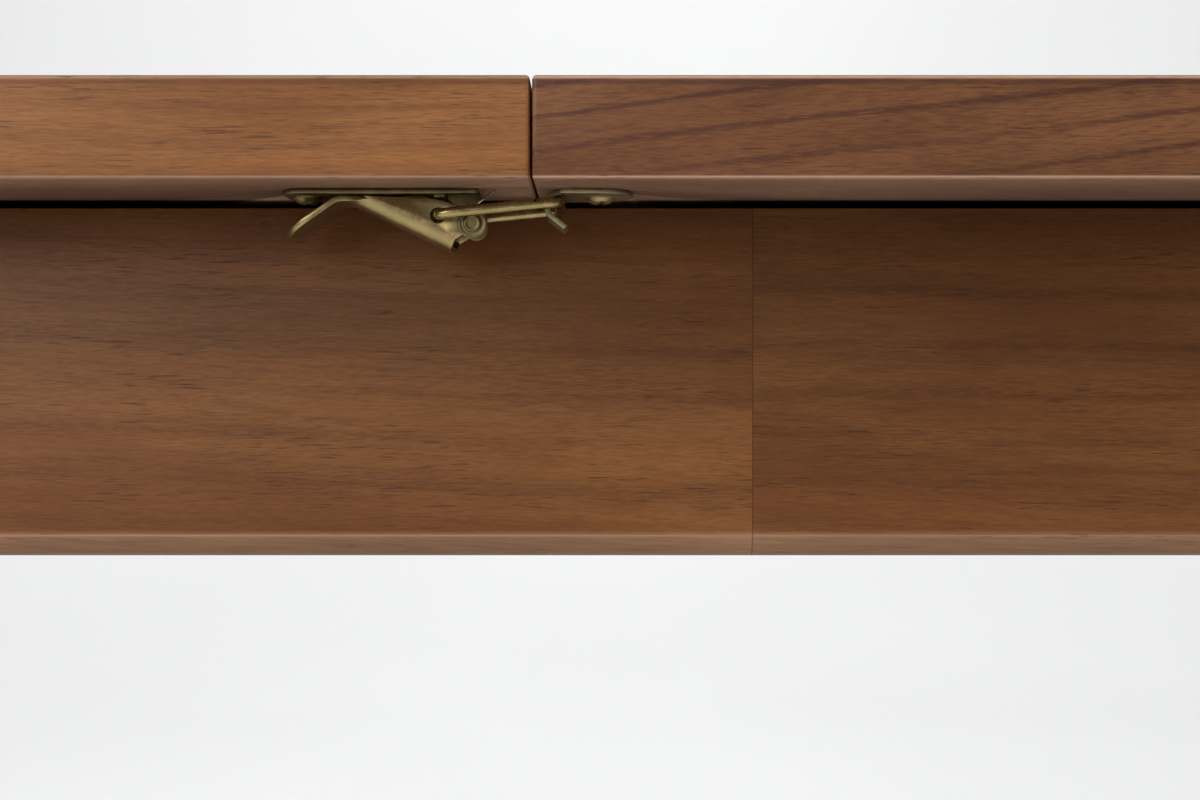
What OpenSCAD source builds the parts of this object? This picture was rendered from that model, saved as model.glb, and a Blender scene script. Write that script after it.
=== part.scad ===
// Extending dining table: a leg frame, two top halves that slide outward on it, a spare leaf
// stored inside, and hooked draw latches under the edges. X runs along the length, Y is the depth.

/* [Top] */
// Length of the closed table
top_l = 1200; // [1150:10:1300]
// Depth of the table, front to back
top_w = 800; // [780:10:900]
// Height of the upper face above the floor
table_h = 750; // [720:5:780]
// Thickness of the top boards
top_t = 22; // [20:1:28]
// Open gap at the seam between two boards
seam_gap = 0.4; // [0.2:0.1:1]
// Radius of the small rounding along the boards' edges
arris_r = 1.2; // [0.6:0.1:2]
// Radius of the top's outer corners in plan
corner_r = 8; // [4:1:14]
// Shadow gap between the top and the frame
shadow_gap = 2; // [1.5:0.1:3]

/* [Frame] */
// Height of the aprons
apron_h = 80; // [76:1:100]
// Thickness of the aprons
apron_t = 22; // [20:1:26]
// Distance from the top's edge to the face of an apron
apron_inset = 37.5; // [36:0.5:45]
// Radius of the lower outer edge of an apron
apron_round = 6; // [3:0.5:9]
// Width of a leg at the frame
leg_size = 64; // [58:1:72]
// Width of a leg at the floor
leg_foot = 42; // [36:1:50]
// How far a leg stands out past the apron's face
leg_proud = 3; // [0:0.5:5]
// Length of straight leg below the apron before the taper starts
leg_straight = 14; // [5:1:40]
// Flat cut across the inner corner of a leg
leg_flat = 14; // [10:1:18]

/* [Corner blocks and bolts] */
// Thickness of a corner block
block_t = 24; // [20:1:28]
// Height of a corner block
block_h = 36; // [30:1:38]
// Lower edge of a corner block above the apron's lower edge
block_rise = 6; // [3:0.5:8]
// Height between the two bolts of a corner
bolt_pitch = 18; // [16:0.5:20]
// Radius of a hanger bolt
bolt_r = 4; // [3:0.5:4]
// Depth of a hanger bolt in the leg
bolt_in_leg = 38; // [30:1:42]
// Length of bolt that shows past the nut
bolt_end = 3; // [1:0.5:6]
// Radius of a washer
washer_r = 8; // [7:0.5:8.5]
// Thickness of a washer
washer_t = 1.6; // [1:0.2:2.4]
// Corner radius of a nut
nut_r = 7.5; // [6.5:0.1:7.8]
// Height of a nut
nut_t = 6.5; // [5:0.5:8]

/* [Feet] */
// Radius of a foot glide
glide_r = 13; // [10:0.5:16]
// Height of a foot glide
glide_h = 6; // [4:0.5:9]
// Radius of a glide's nail
glide_nail_r = 3; // [2:0.5:4]
// Length of a glide's nail
glide_nail = 20; // [14:1:30]

/* [Slides] */
// Height of a guide rail
rail_h = 32; // [30:1:32]
// Thickness of a guide rail
rail_t = 18; // [16:1:22]
// Height of the rail's groove
groove_h = 9; // [7:0.5:10]
// Depth of the rail's groove
groove_d = 9; // [7:0.5:11]
// Upper edge of the groove below the rail's top
groove_drop = 11; // [10:0.5:12]
// Solid wood left at each end of the groove, which stops the runner
groove_stop = 11; // [9:1:16]
// Distance of a runner's inner end from the table's middle, when closed
runner_inner = 19.9; // [10:0.1:30]
// Thickness of a runner beside its rail
runner_t = 20; // [16:1:24]
// Height of a runner
runner_h = 28; // [26:1:30]
// Distance of a runner's end screws from its ends
runner_end = 25; // [15:1:28]
// Depth of the hole that sinks a runner's screw head
runner_sink = 9; // [6:0.5:12]
// Spacing of a rail's screws
rail_pitch = 190; // [150:5:230]
// Length of a slide pad
pad_l = 60; // [40:2:80]
// Width of a slide pad
pad_w = 16; // [10:1:18]
// Distance of the inner pads from the table's middle
pad_inner = 200; // [150:5:260]
// Distance of the outer pads from the table's middle
pad_outer = 440; // [380:5:460]
// Distance of the end pads from the table's centre line
pad_end = 180; // [120:5:240]

/* [Leaf and cross rails] */
// Free space beside the stored leaf, between it and a runner
leaf_side = 22.2; // [10:0.1:30]
// Play of the leaf between the opened halves
leaf_play = 20; // [10:1:30]
// Free height between the stored leaf and the top
leaf_room = 22; // [19:0.5:23]
// Distance of a cross rail from the table's middle
cross_x = 250; // [220:5:300]
// Thickness of a cross rail
cross_t = 22; // [18:1:28]
// Height of a cross rail
cross_h = 32; // [26:1:33]
// Depth of the housing that takes the end of a cross rail
housing_d = 6; // [4:0.5:8]

/* [Dowels] */
// Radius of an alignment dowel
dowel_r = 4; // [3:0.5:5]
// Spacing of the dowels along a seam
dowel_pitch = 250; // [150:5:300]
// Depth of a dowel in its own board
dowel_in = 22; // [16:1:30]
// Length of a dowel that stands out of its board
dowel_out = 12; // [8:0.5:16]

/* [Latch] */
// Distance from the top's edge to the centre line of a latch
latch_inset = 23.3; // [20:0.1:25]
// Thickness of the latch's plates
plate_t = 1.2; // [1:0.1:1.4]
// Width of the latch's plates
plate_w = 18; // [16:0.5:20]
// Left end of the base plate, measured from the seam
plate_end = 55; // [53:0.5:60]
// Right end of the base plate, measured from the seam
plate_near = 12; // [11:0.5:13]
// Radius of the base plate's left corners
plate_round = 4.5; // [1:0.5:8]
// Distance of the base plate's outer screw from the seam
plate_screw_far = 50; // [49:0.5:51]
// Distance of the base plate's inner screw from the seam
plate_screw_near = 27; // [26:0.5:28]
// Distance of the rivet from the seam
pivot_x = 13.35; // [13:0.05:14]
// Distance of the rivet below the board
pivot_z = 7.5; // [7.2:0.1:8]
// Radius of the rivet
rivet_r = 1.5; // [1:0.1:1.8]
// Radius of the rivet's heads
rivet_head_r = 3.3; // [2.8:0.1:3.6]
// Thickness of the rivet's heads
rivet_head_t = 1.1; // [0.8:0.1:1.4]
// Width of an ear
ear_w = 5; // [4.6:0.1:6]
// Reach of an ear's shoulder from the rivet, under the base plate
ear_shoulder = 5.4; // [4:0.2:7]
// Thickness of the lever's sheet
lever_t = 1.1; // [0.9:0.1:1.3]
// Width of the lever
lever_w = 14; // [13:0.5:15]
// Length of the handle from the knee to its tip
handle_l = 14.6; // [12:0.2:16]
// Slope of the handle in degrees
handle_slope = 39; // [36:1:44]
// Distance of the knee from the seam
knee_x = 41.5; // [41:0.1:43]
// Distance from the knee to where the lever's flanges reach their full height
flange_start = 3.3; // [2.5:0.1:4]
// Length of the lever's web from the knee
web_l = 27.3; // [26.5:0.1:27.8]
// Slope of the web in degrees
web_slope = 24.5; // [24:0.5:26]
// Distance of the bail's hole from the seam
attach_x = 20.6; // [20.2:0.1:21]
// Distance of the bail's hole below the board
attach_z = 5.7; // [5.5:0.1:6]
// Radius of the bail's wire
wire_r = 1.25; // [1:0.05:1.3]
// Distance of the bail's bar past the seam
bar_x = 6.4; // [6.3:0.05:6.6]
// Distance of the bail's bar below the board
bar_z = 3.1; // [3:0.05:3.2]
// Radius of the bends beside the bar
bar_bend = 3; // [2:0.2:4]
// Radius of the bends beside the lever
pin_bend = 2.2; // [1.8:0.1:2.3]

/* [Strike] */
// Distance of the hook past the seam
hook_x = 2.2; // [2.1:0.05:2.3]
// Inner radius of the hook
hook_r = 2.4; // [2.3:0.05:2.5]
// Width of the hook
hook_w = 12; // [9:0.5:12.5]
// Length of the hook's straight tongue
tongue_l = 4.6; // [4:0.1:5]
// Slope of the hook's tongue in degrees
tongue_slope = 38; // [36:1:42]
// Distance of the strike's screw past the seam
strike_screw_x = 14.4; // [14.2:0.1:16]

/* [Screws] */
// Head radius of a latch screw
fine_head_r = 3.5; // [3:0.1:3.6]
// Head height of a latch screw
fine_head_t = 1.2; // [1:0.1:1.3]
// Shank radius of a latch screw
fine_r = 1.75; // [1.25:0.05:2]
// Depth of a latch screw in the board
fine_in = 14; // [10:0.5:16]
// Head radius of a wood screw
wood_head_r = 3.9; // [3.4:0.1:4.2]
// Head height of a wood screw
wood_head_t = 2.2; // [1.8:0.1:2.6]
// Shank radius of a wood screw
wood_r = 2; // [1.5:0.1:2.4]
// Depth of a wood screw in the piece that it holds to
wood_in = 13; // [10:0.5:15]
// Depth of the hole that sinks a rail's screw head
rail_sink = 3; // [2.6:0.1:5]
// Wood left under the head of a block's screw
block_screw_wood = 8; // [6:0.5:10]
// Distance of a block's screw along the apron from the block's outer face
block_screw_in = 17; // [14:0.5:19]

/* [Clearances] */
// Radial clearance of a pin or screw in its hole
fit = 0.05; // [0.02:0.01:0.08]
// Radial clearance of a bolt in a block and of a dowel in its socket
loose = 0.3; // [0.2:0.05:0.5]
// Side clearance of a runner and its tongue in the rail
run_gap = 0.3; // [0.2:0.05:0.6]
// Clearance of a slide pad below the top
pad_gap = 0.1; // [0.05:0.05:0.3]
// Side clearance between the latch's sheets
sheet_gap = 0.25; // [0.15:0.05:0.35]
// Clearance of the closed lever below its base plate
knee_gap = 0.15; // [0.1:0.05:0.3]

/* [Hidden] */
SIDES = [["front", -1], ["back", 1]];
CORNERS = [["front_left", -1, -1], ["front_right", 1, -1], ["back_left", -1, 1], ["back_right", 1, 1]];
HALVES = [["left", -1], ["right", 1]];
LATCH_PIECES = ["latch_plate", "latch_rivet", "latch_lever", "latch_bail", "strike_plate"];
$fn = 48;
// Overrun of a cutting shape past the face that it cuts
cut = 1;

under_z = table_h - top_t;
frame_top = under_z - shadow_gap;
apron_z = frame_top - apron_h;
apron_face_y = top_w / 2 - apron_inset;
apron_face_x = top_l / 2 - apron_inset;
apron_in_y = apron_face_y - apron_t;
apron_in_x = apron_face_x - apron_t;
leg_out_x = apron_face_x + leg_proud;
leg_out_y = apron_face_y + leg_proud;
leg_in_x = leg_out_x - leg_size;
leg_in_y = leg_out_y - leg_size;
taper_z = apron_z - leg_straight;

// A corner block lies between two lines x + y = constant, seen from above
block_line = leg_in_x + leg_in_y + leg_flat;
block_back_line = block_line - block_t * sqrt(2);
block_z = apron_z + block_rise;
bolt_z = [block_z + (block_h - bolt_pitch) / 2, block_z + (block_h + bolt_pitch) / 2];
block_screw_z = block_z + block_h / 2;

rail_z = frame_top - rail_h;
rail_face_y = apron_in_y - rail_t;
groove_z = frame_top - groove_drop - groove_h;
rail_half = leg_in_x - run_gap;
groove_half = rail_half - groove_stop;
rail_screw_z = (rail_z + groove_z) / 2;
rail_screw_x = [for (i = [-2:2]) i * rail_pitch];
runner_y = rail_face_y - run_gap;
tongue_h = groove_h - 2 * run_gap;
tongue_d = groove_d - run_gap;

// The leaf is stored turned a quarter turn between the runners, and the halves open to take it
leaf_l = 2 * (runner_y - runner_t - leaf_side);
half_travel = (leaf_l + leaf_play) / 2;
runner_out = groove_half - run_gap - half_travel;
runner_l = runner_out - runner_inner;
runner_mid = (runner_out + runner_inner) / 2;
runner_pitch = runner_l / 2 - runner_end;
leaf_z = under_z - leaf_room - top_t;
cross_z = leaf_z - cross_h;
latch_y = top_w / 2 - latch_inset;
leaf_seam = (leaf_l + seam_gap) / 2;

ear_out = lever_w / 2 - lever_t - sheet_gap;
wire_y = lever_w / 2 + fit + rivet_head_t + sheet_gap + wire_r;
knee_z = plate_t + knee_gap;
bail_l = sqrt(pow(bar_x + attach_x, 2) + pow(attach_z - bar_z, 2));
bail_rise = atan2(attach_z - bar_z, bar_x + attach_x);
hook_cx = hook_x + plate_t + hook_r;
hook_cz = plate_t + hook_r;

// A screw's head radius, head height, shank radius and length below the head
fine_screw = [fine_head_r, fine_head_t, fine_r, plate_t + fine_in];
runner_screw = [wood_head_r, wood_head_t, wood_r, runner_h - runner_sink + wood_in];
rail_screw = [wood_head_r, wood_head_t, wood_r, rail_t - rail_sink + wood_in];
block_screw = [wood_head_r, wood_head_t, wood_r, block_screw_wood + wood_in];

WOOD = [0.48, 0.30, 0.19];
WOOD_PALE = [0.72, 0.56, 0.38];
BRASS = [0.62, 0.55, 0.33];
STEEL = [0.66, 0.67, 0.68];
NYLON = [0.90, 0.89, 0.84];

// A rectangle with one corner radius at its left end and one at its right end
module round_rect(x0, x1, y0, y1, r0, r1) {
    translate([x0 + r0, y0])
        square([x1 - r1 - x0 - r0, y1 - y0]);
    translate([x0, y0 + r0])
        square([2 * r0, y1 - y0 - 2 * r0]);
    translate([x1 - 2 * r1, y0 + r1])
        square([2 * r1, y1 - y0 - 2 * r1]);
    for (y = [y0 + r0, y1 - r0])
        translate([x0 + r0, y])
            circle(r0);
    for (y = [y0 + r1, y1 - r1])
        translate([x1 - r1, y])
            circle(r1);
}

// Extrudes an outline drawn in Y and Z along X, from x0 to x1
module along_x(x0, x1) {
    translate([x0, 0, 0])
        rotate([90, 0, 90])
            linear_extrude(x1 - x0)
                children();
}

// Extrudes an outline drawn in X and Z along Y, from y0 to y1
module along_y(y0, y1) {
    translate([0, y1, 0])
        rotate([90, 0, 0])
            linear_extrude(y1 - y0)
                children();
}

// A board of the top, with a small rounding along every edge and its own corner radii in plan
module board(x0, x1, r0, r1) {
    half_w = top_w / 2;
    intersection() {
        linear_extrude(top_t)
            round_rect(x0, x1, -half_w, half_w, r0, r1);
        along_x(x0, x1)
            round_rect(-half_w, half_w, 0, top_t, arris_r, arris_r);
        along_y(-half_w, half_w)
            round_rect(x0, x1, 0, top_t, arris_r, arris_r);
    }
}

// A screw driven along +Z, with the underside of its head at the origin
module screw(s) {
    translate([0, 0, -s[1]])
        cylinder(r = s[0], h = s[1]);
    cylinder(r = s[2], h = s[3]);
}

// The hole of a screw's shank
module screw_hole(s) {
    translate([0, 0, -cut])
        cylinder(r = s[2] + fit, h = s[3] + fit + cut);
}

// Mirrors a piece drawn in the back right quarter into the quarter named by its signs
module in_quarter(sx, sy) {
    mirror([sx < 0 ? 1 : 0, 0, 0])
        mirror([0, sy < 0 ? 1 : 0, 0])
            children();
}

// Places of the screws, bolts, dowels and latches, shared by each piece and its holes
module at_bolts() {
    for (z = bolt_z)
        translate([leg_in_x + leg_flat / 2, leg_in_y + leg_flat / 2, z])
            rotate([0, 0, 45])
                rotate([0, 90, 0])
                    children();
}

module at_block_screws() {
    along = block_line - block_screw_in;
    translate([along - apron_in_y, apron_in_y - block_screw_wood, block_screw_z])
        rotate([-90, 0, 0])
            children();
    translate([apron_in_x - block_screw_wood, along - apron_in_x, block_screw_z])
        rotate([0, 90, 0])
            children();
}

module at_rail_screws() {
    for (x = rail_screw_x)
        translate([x, rail_face_y + rail_sink, rail_screw_z])
            rotate([-90, 0, 0])
                children();
}

module at_runner_screws() {
    for (i = [-1:1])
        translate([runner_mid + i * runner_pitch, runner_y - runner_t / 2, under_z - runner_h + runner_sink])
            children();
}

module at_dowels() {
    for (i = [-1:1])
        translate([0, i * dowel_pitch, top_t / 2])
            rotate([0, 90, 0])
                children();
}

module at_sides() {
    for (s = SIDES)
        translate([0, s[1] * latch_y, 0])
            children();
}

module at_latch_screws() {
    for (x = [plate_screw_far, plate_screw_near])
        translate([-x, 0, -plate_t])
            children();
}

module at_strike_screw() {
    translate([strike_screw_x, 0, -plate_t])
        children();
}

// Places for what belongs to the seam of the two halves, and to the leaf's own two seams
module at_main_seam() {
    translate([0, 0, under_z])
        children();
}

module in_stored_leaf(seam_x) {
    translate([0, 0, leaf_z])
        rotate([0, 0, 90])
            translate([seam_x, 0, 0])
                children();
}

module dowel() {
    translate([0, 0, -dowel_out])
        cylinder(r = dowel_r, h = dowel_out + dowel_in);
}

module dowel_hole() {
    translate([0, 0, -cut])
        cylinder(r = dowel_r + fit, h = dowel_in + fit + cut);
}

// The socket runs the other way, into the neighbouring board
module dowel_socket() {
    translate([0, 0, -dowel_out - loose])
        cylinder(r = dowel_r + loose, h = dowel_out + loose + cut);
}

module latch_holes() {
    at_sides()
        at_latch_screws()
            screw_hole(fine_screw);
}

module strike_holes() {
    at_sides()
        at_strike_screw()
            screw_hole(fine_screw);
}

module top_left() {
    color(WOOD)
        difference() {
            at_main_seam()
                difference() {
                    board(-top_l / 2, -seam_gap / 2, corner_r, arris_r);
                    latch_holes();
                    at_dowels()
                        dowel_socket();
                }
            for (sy = [-1, 1])
                in_quarter(-1, sy)
                    at_runner_screws()
                        screw_hole(runner_screw);
        }
}

module top_right() {
    color(WOOD)
        difference() {
            at_main_seam()
                difference() {
                    board(seam_gap / 2, top_l / 2, arris_r, corner_r);
                    strike_holes();
                    at_dowels()
                        dowel_hole();
                }
            for (sy = [-1, 1])
                in_quarter(1, sy)
                    at_runner_screws()
                        screw_hole(runner_screw);
        }
}

module leaf_panel() {
    color(WOOD)
        in_stored_leaf(0)
            difference() {
                board(-leaf_l / 2, leaf_l / 2, arris_r, arris_r);
                translate([leaf_seam, 0, 0]) {
                    latch_holes();
                    at_dowels()
                        dowel_socket();
                }
                translate([-leaf_seam, 0, 0]) {
                    strike_holes();
                    at_dowels()
                        dowel_hole();
                }
            }
}

module alignment_dowels() {
    color(WOOD_PALE)
        at_main_seam()
            at_dowels()
                dowel();
}

module leaf_dowels() {
    color(WOOD_PALE)
        in_stored_leaf(-leaf_seam)
            at_dowels()
                dowel();
}

// Outline of an apron with its lower outer edge rounded
module apron_profile(inner, outer) {
    translate([inner, apron_z])
        square([outer - inner - apron_round, apron_h]);
    translate([inner, apron_z + apron_round])
        square([outer - inner, apron_h - apron_round]);
    translate([outer - apron_round, apron_z + apron_round])
        circle(apron_round);
}

module long_apron(sy) {
    color(WOOD)
        in_quarter(1, sy)
            difference() {
                along_x(-leg_in_x, leg_in_x)
                    apron_profile(apron_in_y, apron_face_y);
                for (sx = [-1, 1]) {
                    in_quarter(sx, 1)
                        at_block_screws()
                            screw_hole(block_screw);
                    translate([sx * cross_x, apron_in_y, cross_z + cross_h / 2])
                        cube([cross_t + 2 * fit, 2 * (housing_d + fit), cross_h + 2 * fit], center = true);
                }
                at_rail_screws()
                    screw_hole(rail_screw);
            }
}

module end_apron(sx) {
    color(WOOD)
        in_quarter(sx, 1)
            difference() {
                along_y(-leg_in_y, leg_in_y)
                    apron_profile(apron_in_x, apron_face_x);
                for (sy = [-1, 1])
                    in_quarter(1, sy)
                        at_block_screws()
                            screw_hole(block_screw);
            }
}

// Outline of a leg seen from one side: straight at the frame, tapering inside to the foot
module leg_profile(inner, outer) {
    polygon([
        [outer, glide_h],
        [outer, frame_top],
        [inner, frame_top],
        [inner, taper_z],
        [outer - leg_foot, glide_h]
    ]);
}

module leg(sx, sy) {
    color(WOOD)
        in_quarter(sx, sy)
            difference() {
                intersection() {
                    along_y(leg_in_y, leg_out_y)
                        leg_profile(leg_in_x, leg_out_x);
                    along_x(leg_in_x, leg_out_x)
                        leg_profile(leg_in_y, leg_out_y);
                }
                translate([0, 0, apron_z])
                    linear_extrude(apron_h + cut)
                        polygon([
                            [leg_in_x - cut, leg_in_y - cut],
                            [leg_in_x + leg_flat + cut, leg_in_y - cut],
                            [leg_in_x - cut, leg_in_y + leg_flat + cut]
                        ]);
                at_bolts()
                    translate([0, 0, -cut])
                        cylinder(r = bolt_r + fit, h = bolt_in_leg + fit + cut);
                at_glide()
                    cylinder(r = glide_nail_r + fit, h = glide_h + glide_nail + fit);
            }
}

module corner_block(sx, sy) {
    color(WOOD_PALE)
        in_quarter(sx, sy)
            difference() {
                translate([0, 0, block_z])
                    linear_extrude(block_h)
                        polygon([
                            [block_line - apron_in_y, apron_in_y],
                            [apron_in_x, block_line - apron_in_x],
                            [apron_in_x, block_back_line - apron_in_x],
                            [block_back_line - apron_in_y, apron_in_y]
                        ]);
                at_bolts()
                    translate([0, 0, -block_t - cut])
                        cylinder(r = bolt_r + loose, h = block_t + 2 * cut);
                at_block_screws() {
                    screw_hole(block_screw);
                    translate([0, 0, -block_t])
                        cylinder(r = wood_head_r + loose, h = block_t);
                }
            }
}

module at_each_corner() {
    for (c = CORNERS)
        in_quarter(c[1], c[2])
            children();
}

module hanger_bolts() {
    inner = block_t + washer_t + nut_t + bolt_end;
    color(STEEL)
        at_each_corner()
            at_bolts()
                translate([0, 0, -inner])
                    cylinder(r = bolt_r, h = inner + bolt_in_leg);
}

module bolt_washers() {
    color(STEEL)
        at_each_corner()
            at_bolts()
                translate([0, 0, -block_t - washer_t])
                    difference() {
                        cylinder(r = washer_r, h = washer_t);
                        translate([0, 0, -cut])
                            cylinder(r = bolt_r + loose, h = washer_t + 2 * cut);
                    }
}

module bolt_nuts() {
    color(STEEL)
        at_each_corner()
            at_bolts()
                translate([0, 0, -block_t - washer_t - nut_t])
                    difference() {
                        cylinder(r = nut_r, h = nut_t, $fn = 6);
                        translate([0, 0, -cut])
                            cylinder(r = bolt_r + fit, h = nut_t + 2 * cut);
                    }
}

module block_screws() {
    color(STEEL)
        at_each_corner()
            at_block_screws()
                screw(block_screw);
}

module at_glide() {
    translate([leg_out_x - leg_foot / 2, leg_out_y - leg_foot / 2, 0])
        children();
}

module foot_glides() {
    color(NYLON)
        at_each_corner()
            at_glide() {
                cylinder(r = glide_r, h = glide_h);
                cylinder(r = glide_nail_r, h = glide_h + glide_nail);
            }
}

module slide_pads() {
    pad_t = shadow_gap - pad_gap;
    mid_y = (apron_in_y + apron_face_y) / 2;
    mid_x = (apron_in_x + apron_face_x) / 2;
    color(NYLON)
        at_each_corner()
            translate([0, 0, frame_top + pad_t / 2]) {
                for (x = [pad_inner, pad_outer])
                    translate([x, mid_y, 0])
                        cube([pad_l, pad_w, pad_t], center = true);
                translate([mid_x, pad_end, 0])
                    cube([pad_w, pad_l, pad_t], center = true);
            }
}

module guide_rail(sy) {
    color(WOOD_PALE)
        in_quarter(1, sy)
            difference() {
                translate([-rail_half, rail_face_y, rail_z])
                    cube([2 * rail_half, rail_t, rail_h]);
                translate([-groove_half, rail_face_y - cut, groove_z])
                    cube([2 * groove_half, groove_d + cut, groove_h]);
                at_rail_screws() {
                    screw_hole(rail_screw);
                    translate([0, 0, -rail_sink - cut])
                        cylinder(r = wood_head_r + loose, h = rail_sink + cut);
                }
            }
}

module rail_screws() {
    color(STEEL)
        for (s = SIDES)
            in_quarter(1, s[1])
                at_rail_screws()
                    screw(rail_screw);
}

module cross_rail(sx) {
    reach = apron_in_y + housing_d;
    color(WOOD_PALE)
        translate([sx * cross_x, 0, cross_z + cross_h / 2])
            cube([cross_t, 2 * reach, cross_h], center = true);
}

// A runner hangs from its half beside the rail, and its tongue runs in the groove
module runner(sx, sy) {
    color(WOOD_PALE)
        in_quarter(sx, sy)
            difference() {
                union() {
                    translate([runner_inner, runner_y - runner_t, under_z - runner_h])
                        cube([runner_l, runner_t, runner_h]);
                    translate([runner_inner, runner_y - cut, groove_z + run_gap])
                        cube([runner_l, tongue_d + cut, tongue_h]);
                }
                at_runner_screws() {
                    screw_hole(runner_screw);
                    translate([0, 0, -runner_sink - cut])
                        cylinder(r = wood_head_r + loose, h = runner_sink + cut);
                }
            }
}

module runner_screws(sx) {
    color(STEEL)
        for (s = SIDES)
            in_quarter(sx, s[1])
                at_runner_screws()
                    screw(runner_screw);
}

// The latch is drawn round its seam: x is 0 at the seam, y at its centre line, z at the board
module latch_plate() {
    color(BRASS)
        difference() {
            union() {
                translate([0, 0, -plate_t])
                    linear_extrude(plate_t)
                        round_rect(-plate_end, -plate_near, -plate_w / 2, plate_w / 2, plate_round, arris_r);
                for (y = [-ear_out, ear_out - plate_t])
                    along_y(y, y + plate_t) {
                        polygon([
                            [-pivot_x - ear_shoulder, -plate_t / 2],
                            [-plate_near - plate_t, -plate_t / 2],
                            [-pivot_x + ear_w / 2, -pivot_z],
                            [-pivot_x - ear_w / 2, -pivot_z]
                        ]);
                        translate([-pivot_x, -pivot_z])
                            circle(ear_w / 2);
                    }
            }
            at_latch_screws()
                screw_hole(fine_screw);
            along_y(-plate_w, plate_w)
                translate([-pivot_x, -pivot_z])
                    circle(rivet_r + fit);
        }
}

module latch_rivet() {
    head_in = lever_w / 2 + fit;
    color(BRASS)
        translate([-pivot_x, 0, -pivot_z])
            rotate([90, 0, 0]) {
                cylinder(r = rivet_r, h = 2 * head_in, center = true);
                for (z = [-head_in - rivet_head_t, head_in])
                    translate([0, 0, z])
                        cylinder(r = rivet_head_r, h = rivet_head_t);
            }
}

// Side outline of the lever's sheet: the handle rises to the knee and the web falls from it
module lever_outline() {
    knee = [-knee_x, -knee_z];
    bend = (handle_slope + web_slope) / 2;
    inner_knee = knee - lever_t / cos(bend) * [sin(web_slope - bend), cos(web_slope - bend)];
    tip = knee - handle_l * [cos(handle_slope), sin(handle_slope)];
    web_end = knee + web_l * [cos(web_slope), -sin(web_slope)];
    polygon([
        tip,
        knee,
        web_end,
        web_end - lever_t * [sin(web_slope), cos(web_slope)],
        inner_knee,
        tip + lever_t * [sin(handle_slope), -cos(handle_slope)]
    ]);
}

// Side outline of a lever flange, whose lower edge lies within the web, with the lug round the rivet
module flange_outline() {
    web_dir = [cos(web_slope), -sin(web_slope)];
    sheet_mid = -lever_t / 2 * [sin(web_slope), cos(web_slope)];
    knee = [-knee_x, -knee_z];
    lug_r = rivet_r + lever_t;
    difference() {
        union() {
            polygon([
                knee + lever_t * web_dir + sheet_mid,
                [-knee_x + flange_start, -knee_z],
                [-attach_x, -knee_z],
                [-attach_x + lug_r, -knee_z - lever_t],
                [-pivot_x - lug_r / 2, -pivot_z + lug_r / 2],
                [-pivot_x - lug_r / 2, -pivot_z - lug_r / 2],
                knee + (web_l - lever_t / 2) * web_dir + sheet_mid
            ]);
            translate([-pivot_x, -pivot_z])
                circle(lug_r);
        }
        translate([-pivot_x, -pivot_z])
            circle(rivet_r + fit);
        translate([-attach_x, -attach_z])
            circle(wire_r + fit);
    }
}

module latch_lever() {
    half_w = lever_w / 2;
    round_x = -knee_x - handle_l * cos(handle_slope) + half_w;
    depth = handle_l + web_l;
    color(BRASS) {
        for (y = [-half_w, half_w - lever_t])
            along_y(y, y + lever_t)
                flange_outline();
        intersection() {
            along_y(-half_w, half_w)
                lever_outline();
            translate([0, 0, -depth])
                linear_extrude(depth) {
                    translate([round_x, -lever_w])
                        square([knee_x, 2 * lever_w]);
                    translate([round_x, 0])
                        circle(half_w);
                }
        }
    }
}

module quarter_bend(r) {
    rotate_extrude(angle = 90)
        translate([r, 0])
            circle(wire_r);
}

// The bail lies flat in its own plane: pins at the origin, legs along X, bar at the far end
module bail_wire() {
    pin_in = lever_w / 2 - lever_t;
    for (sy = [-1, 1])
        mirror([0, sy < 0 ? 1 : 0, 0]) {
            translate([0, pin_in, 0])
                rotate([-90, 0, 0])
                    cylinder(r = wire_r, h = wire_y - pin_bend - pin_in);
            translate([pin_bend, wire_y - pin_bend, 0])
                rotate([0, 0, 90])
                    quarter_bend(pin_bend);
            translate([pin_bend, wire_y, 0])
                rotate([0, 90, 0])
                    cylinder(r = wire_r, h = bail_l - bar_bend - pin_bend);
            translate([bail_l - bar_bend, wire_y - bar_bend, 0])
                quarter_bend(bar_bend);
        }
    translate([bail_l, 0, 0])
        rotate([90, 0, 0])
            cylinder(r = wire_r, h = 2 * (wire_y - bar_bend), center = true);
}

module latch_bail() {
    color(BRASS)
        translate([-attach_x, 0, -attach_z])
            rotate([0, -bail_rise, 0])
                bail_wire();
}

// Side outline of the strike's hook: a curl that starts at the plate and ends in a sloping tongue
module hook_outline() {
    far = 3 * (hook_r + plate_t);
    translate([hook_cx, -hook_cz]) {
        difference() {
            circle(hook_r + plate_t);
            circle(hook_r);
            polygon([
                [0, 0],
                [0, far],
                [far, far],
                [far, -far],
                [-far * sin(tongue_slope), -far * cos(tongue_slope)]
            ]);
        }
        rotate(-tongue_slope)
            translate([0, -hook_r - plate_t])
                square([tongue_l, plate_t]);
    }
    translate([hook_cx, -plate_t])
        square([plate_t, plate_t]);
}

module strike_plate() {
    color(BRASS)
        difference() {
            union() {
                translate([0, 0, -plate_t])
                    linear_extrude(plate_t) {
                        translate([hook_cx, -plate_w / 2])
                            square([strike_screw_x - hook_cx, plate_w]);
                        translate([strike_screw_x, 0])
                            circle(plate_w / 2);
                    }
                along_y(-hook_w / 2, hook_w / 2)
                    hook_outline();
            }
            at_strike_screw()
                screw_hole(fine_screw);
        }
}

module latch_screws() {
    color(BRASS)
        at_sides()
            at_latch_screws()
                screw(fine_screw);
}

module strike_screws() {
    color(BRASS)
        at_sides()
            at_strike_screw()
                screw(fine_screw);
}

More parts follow.
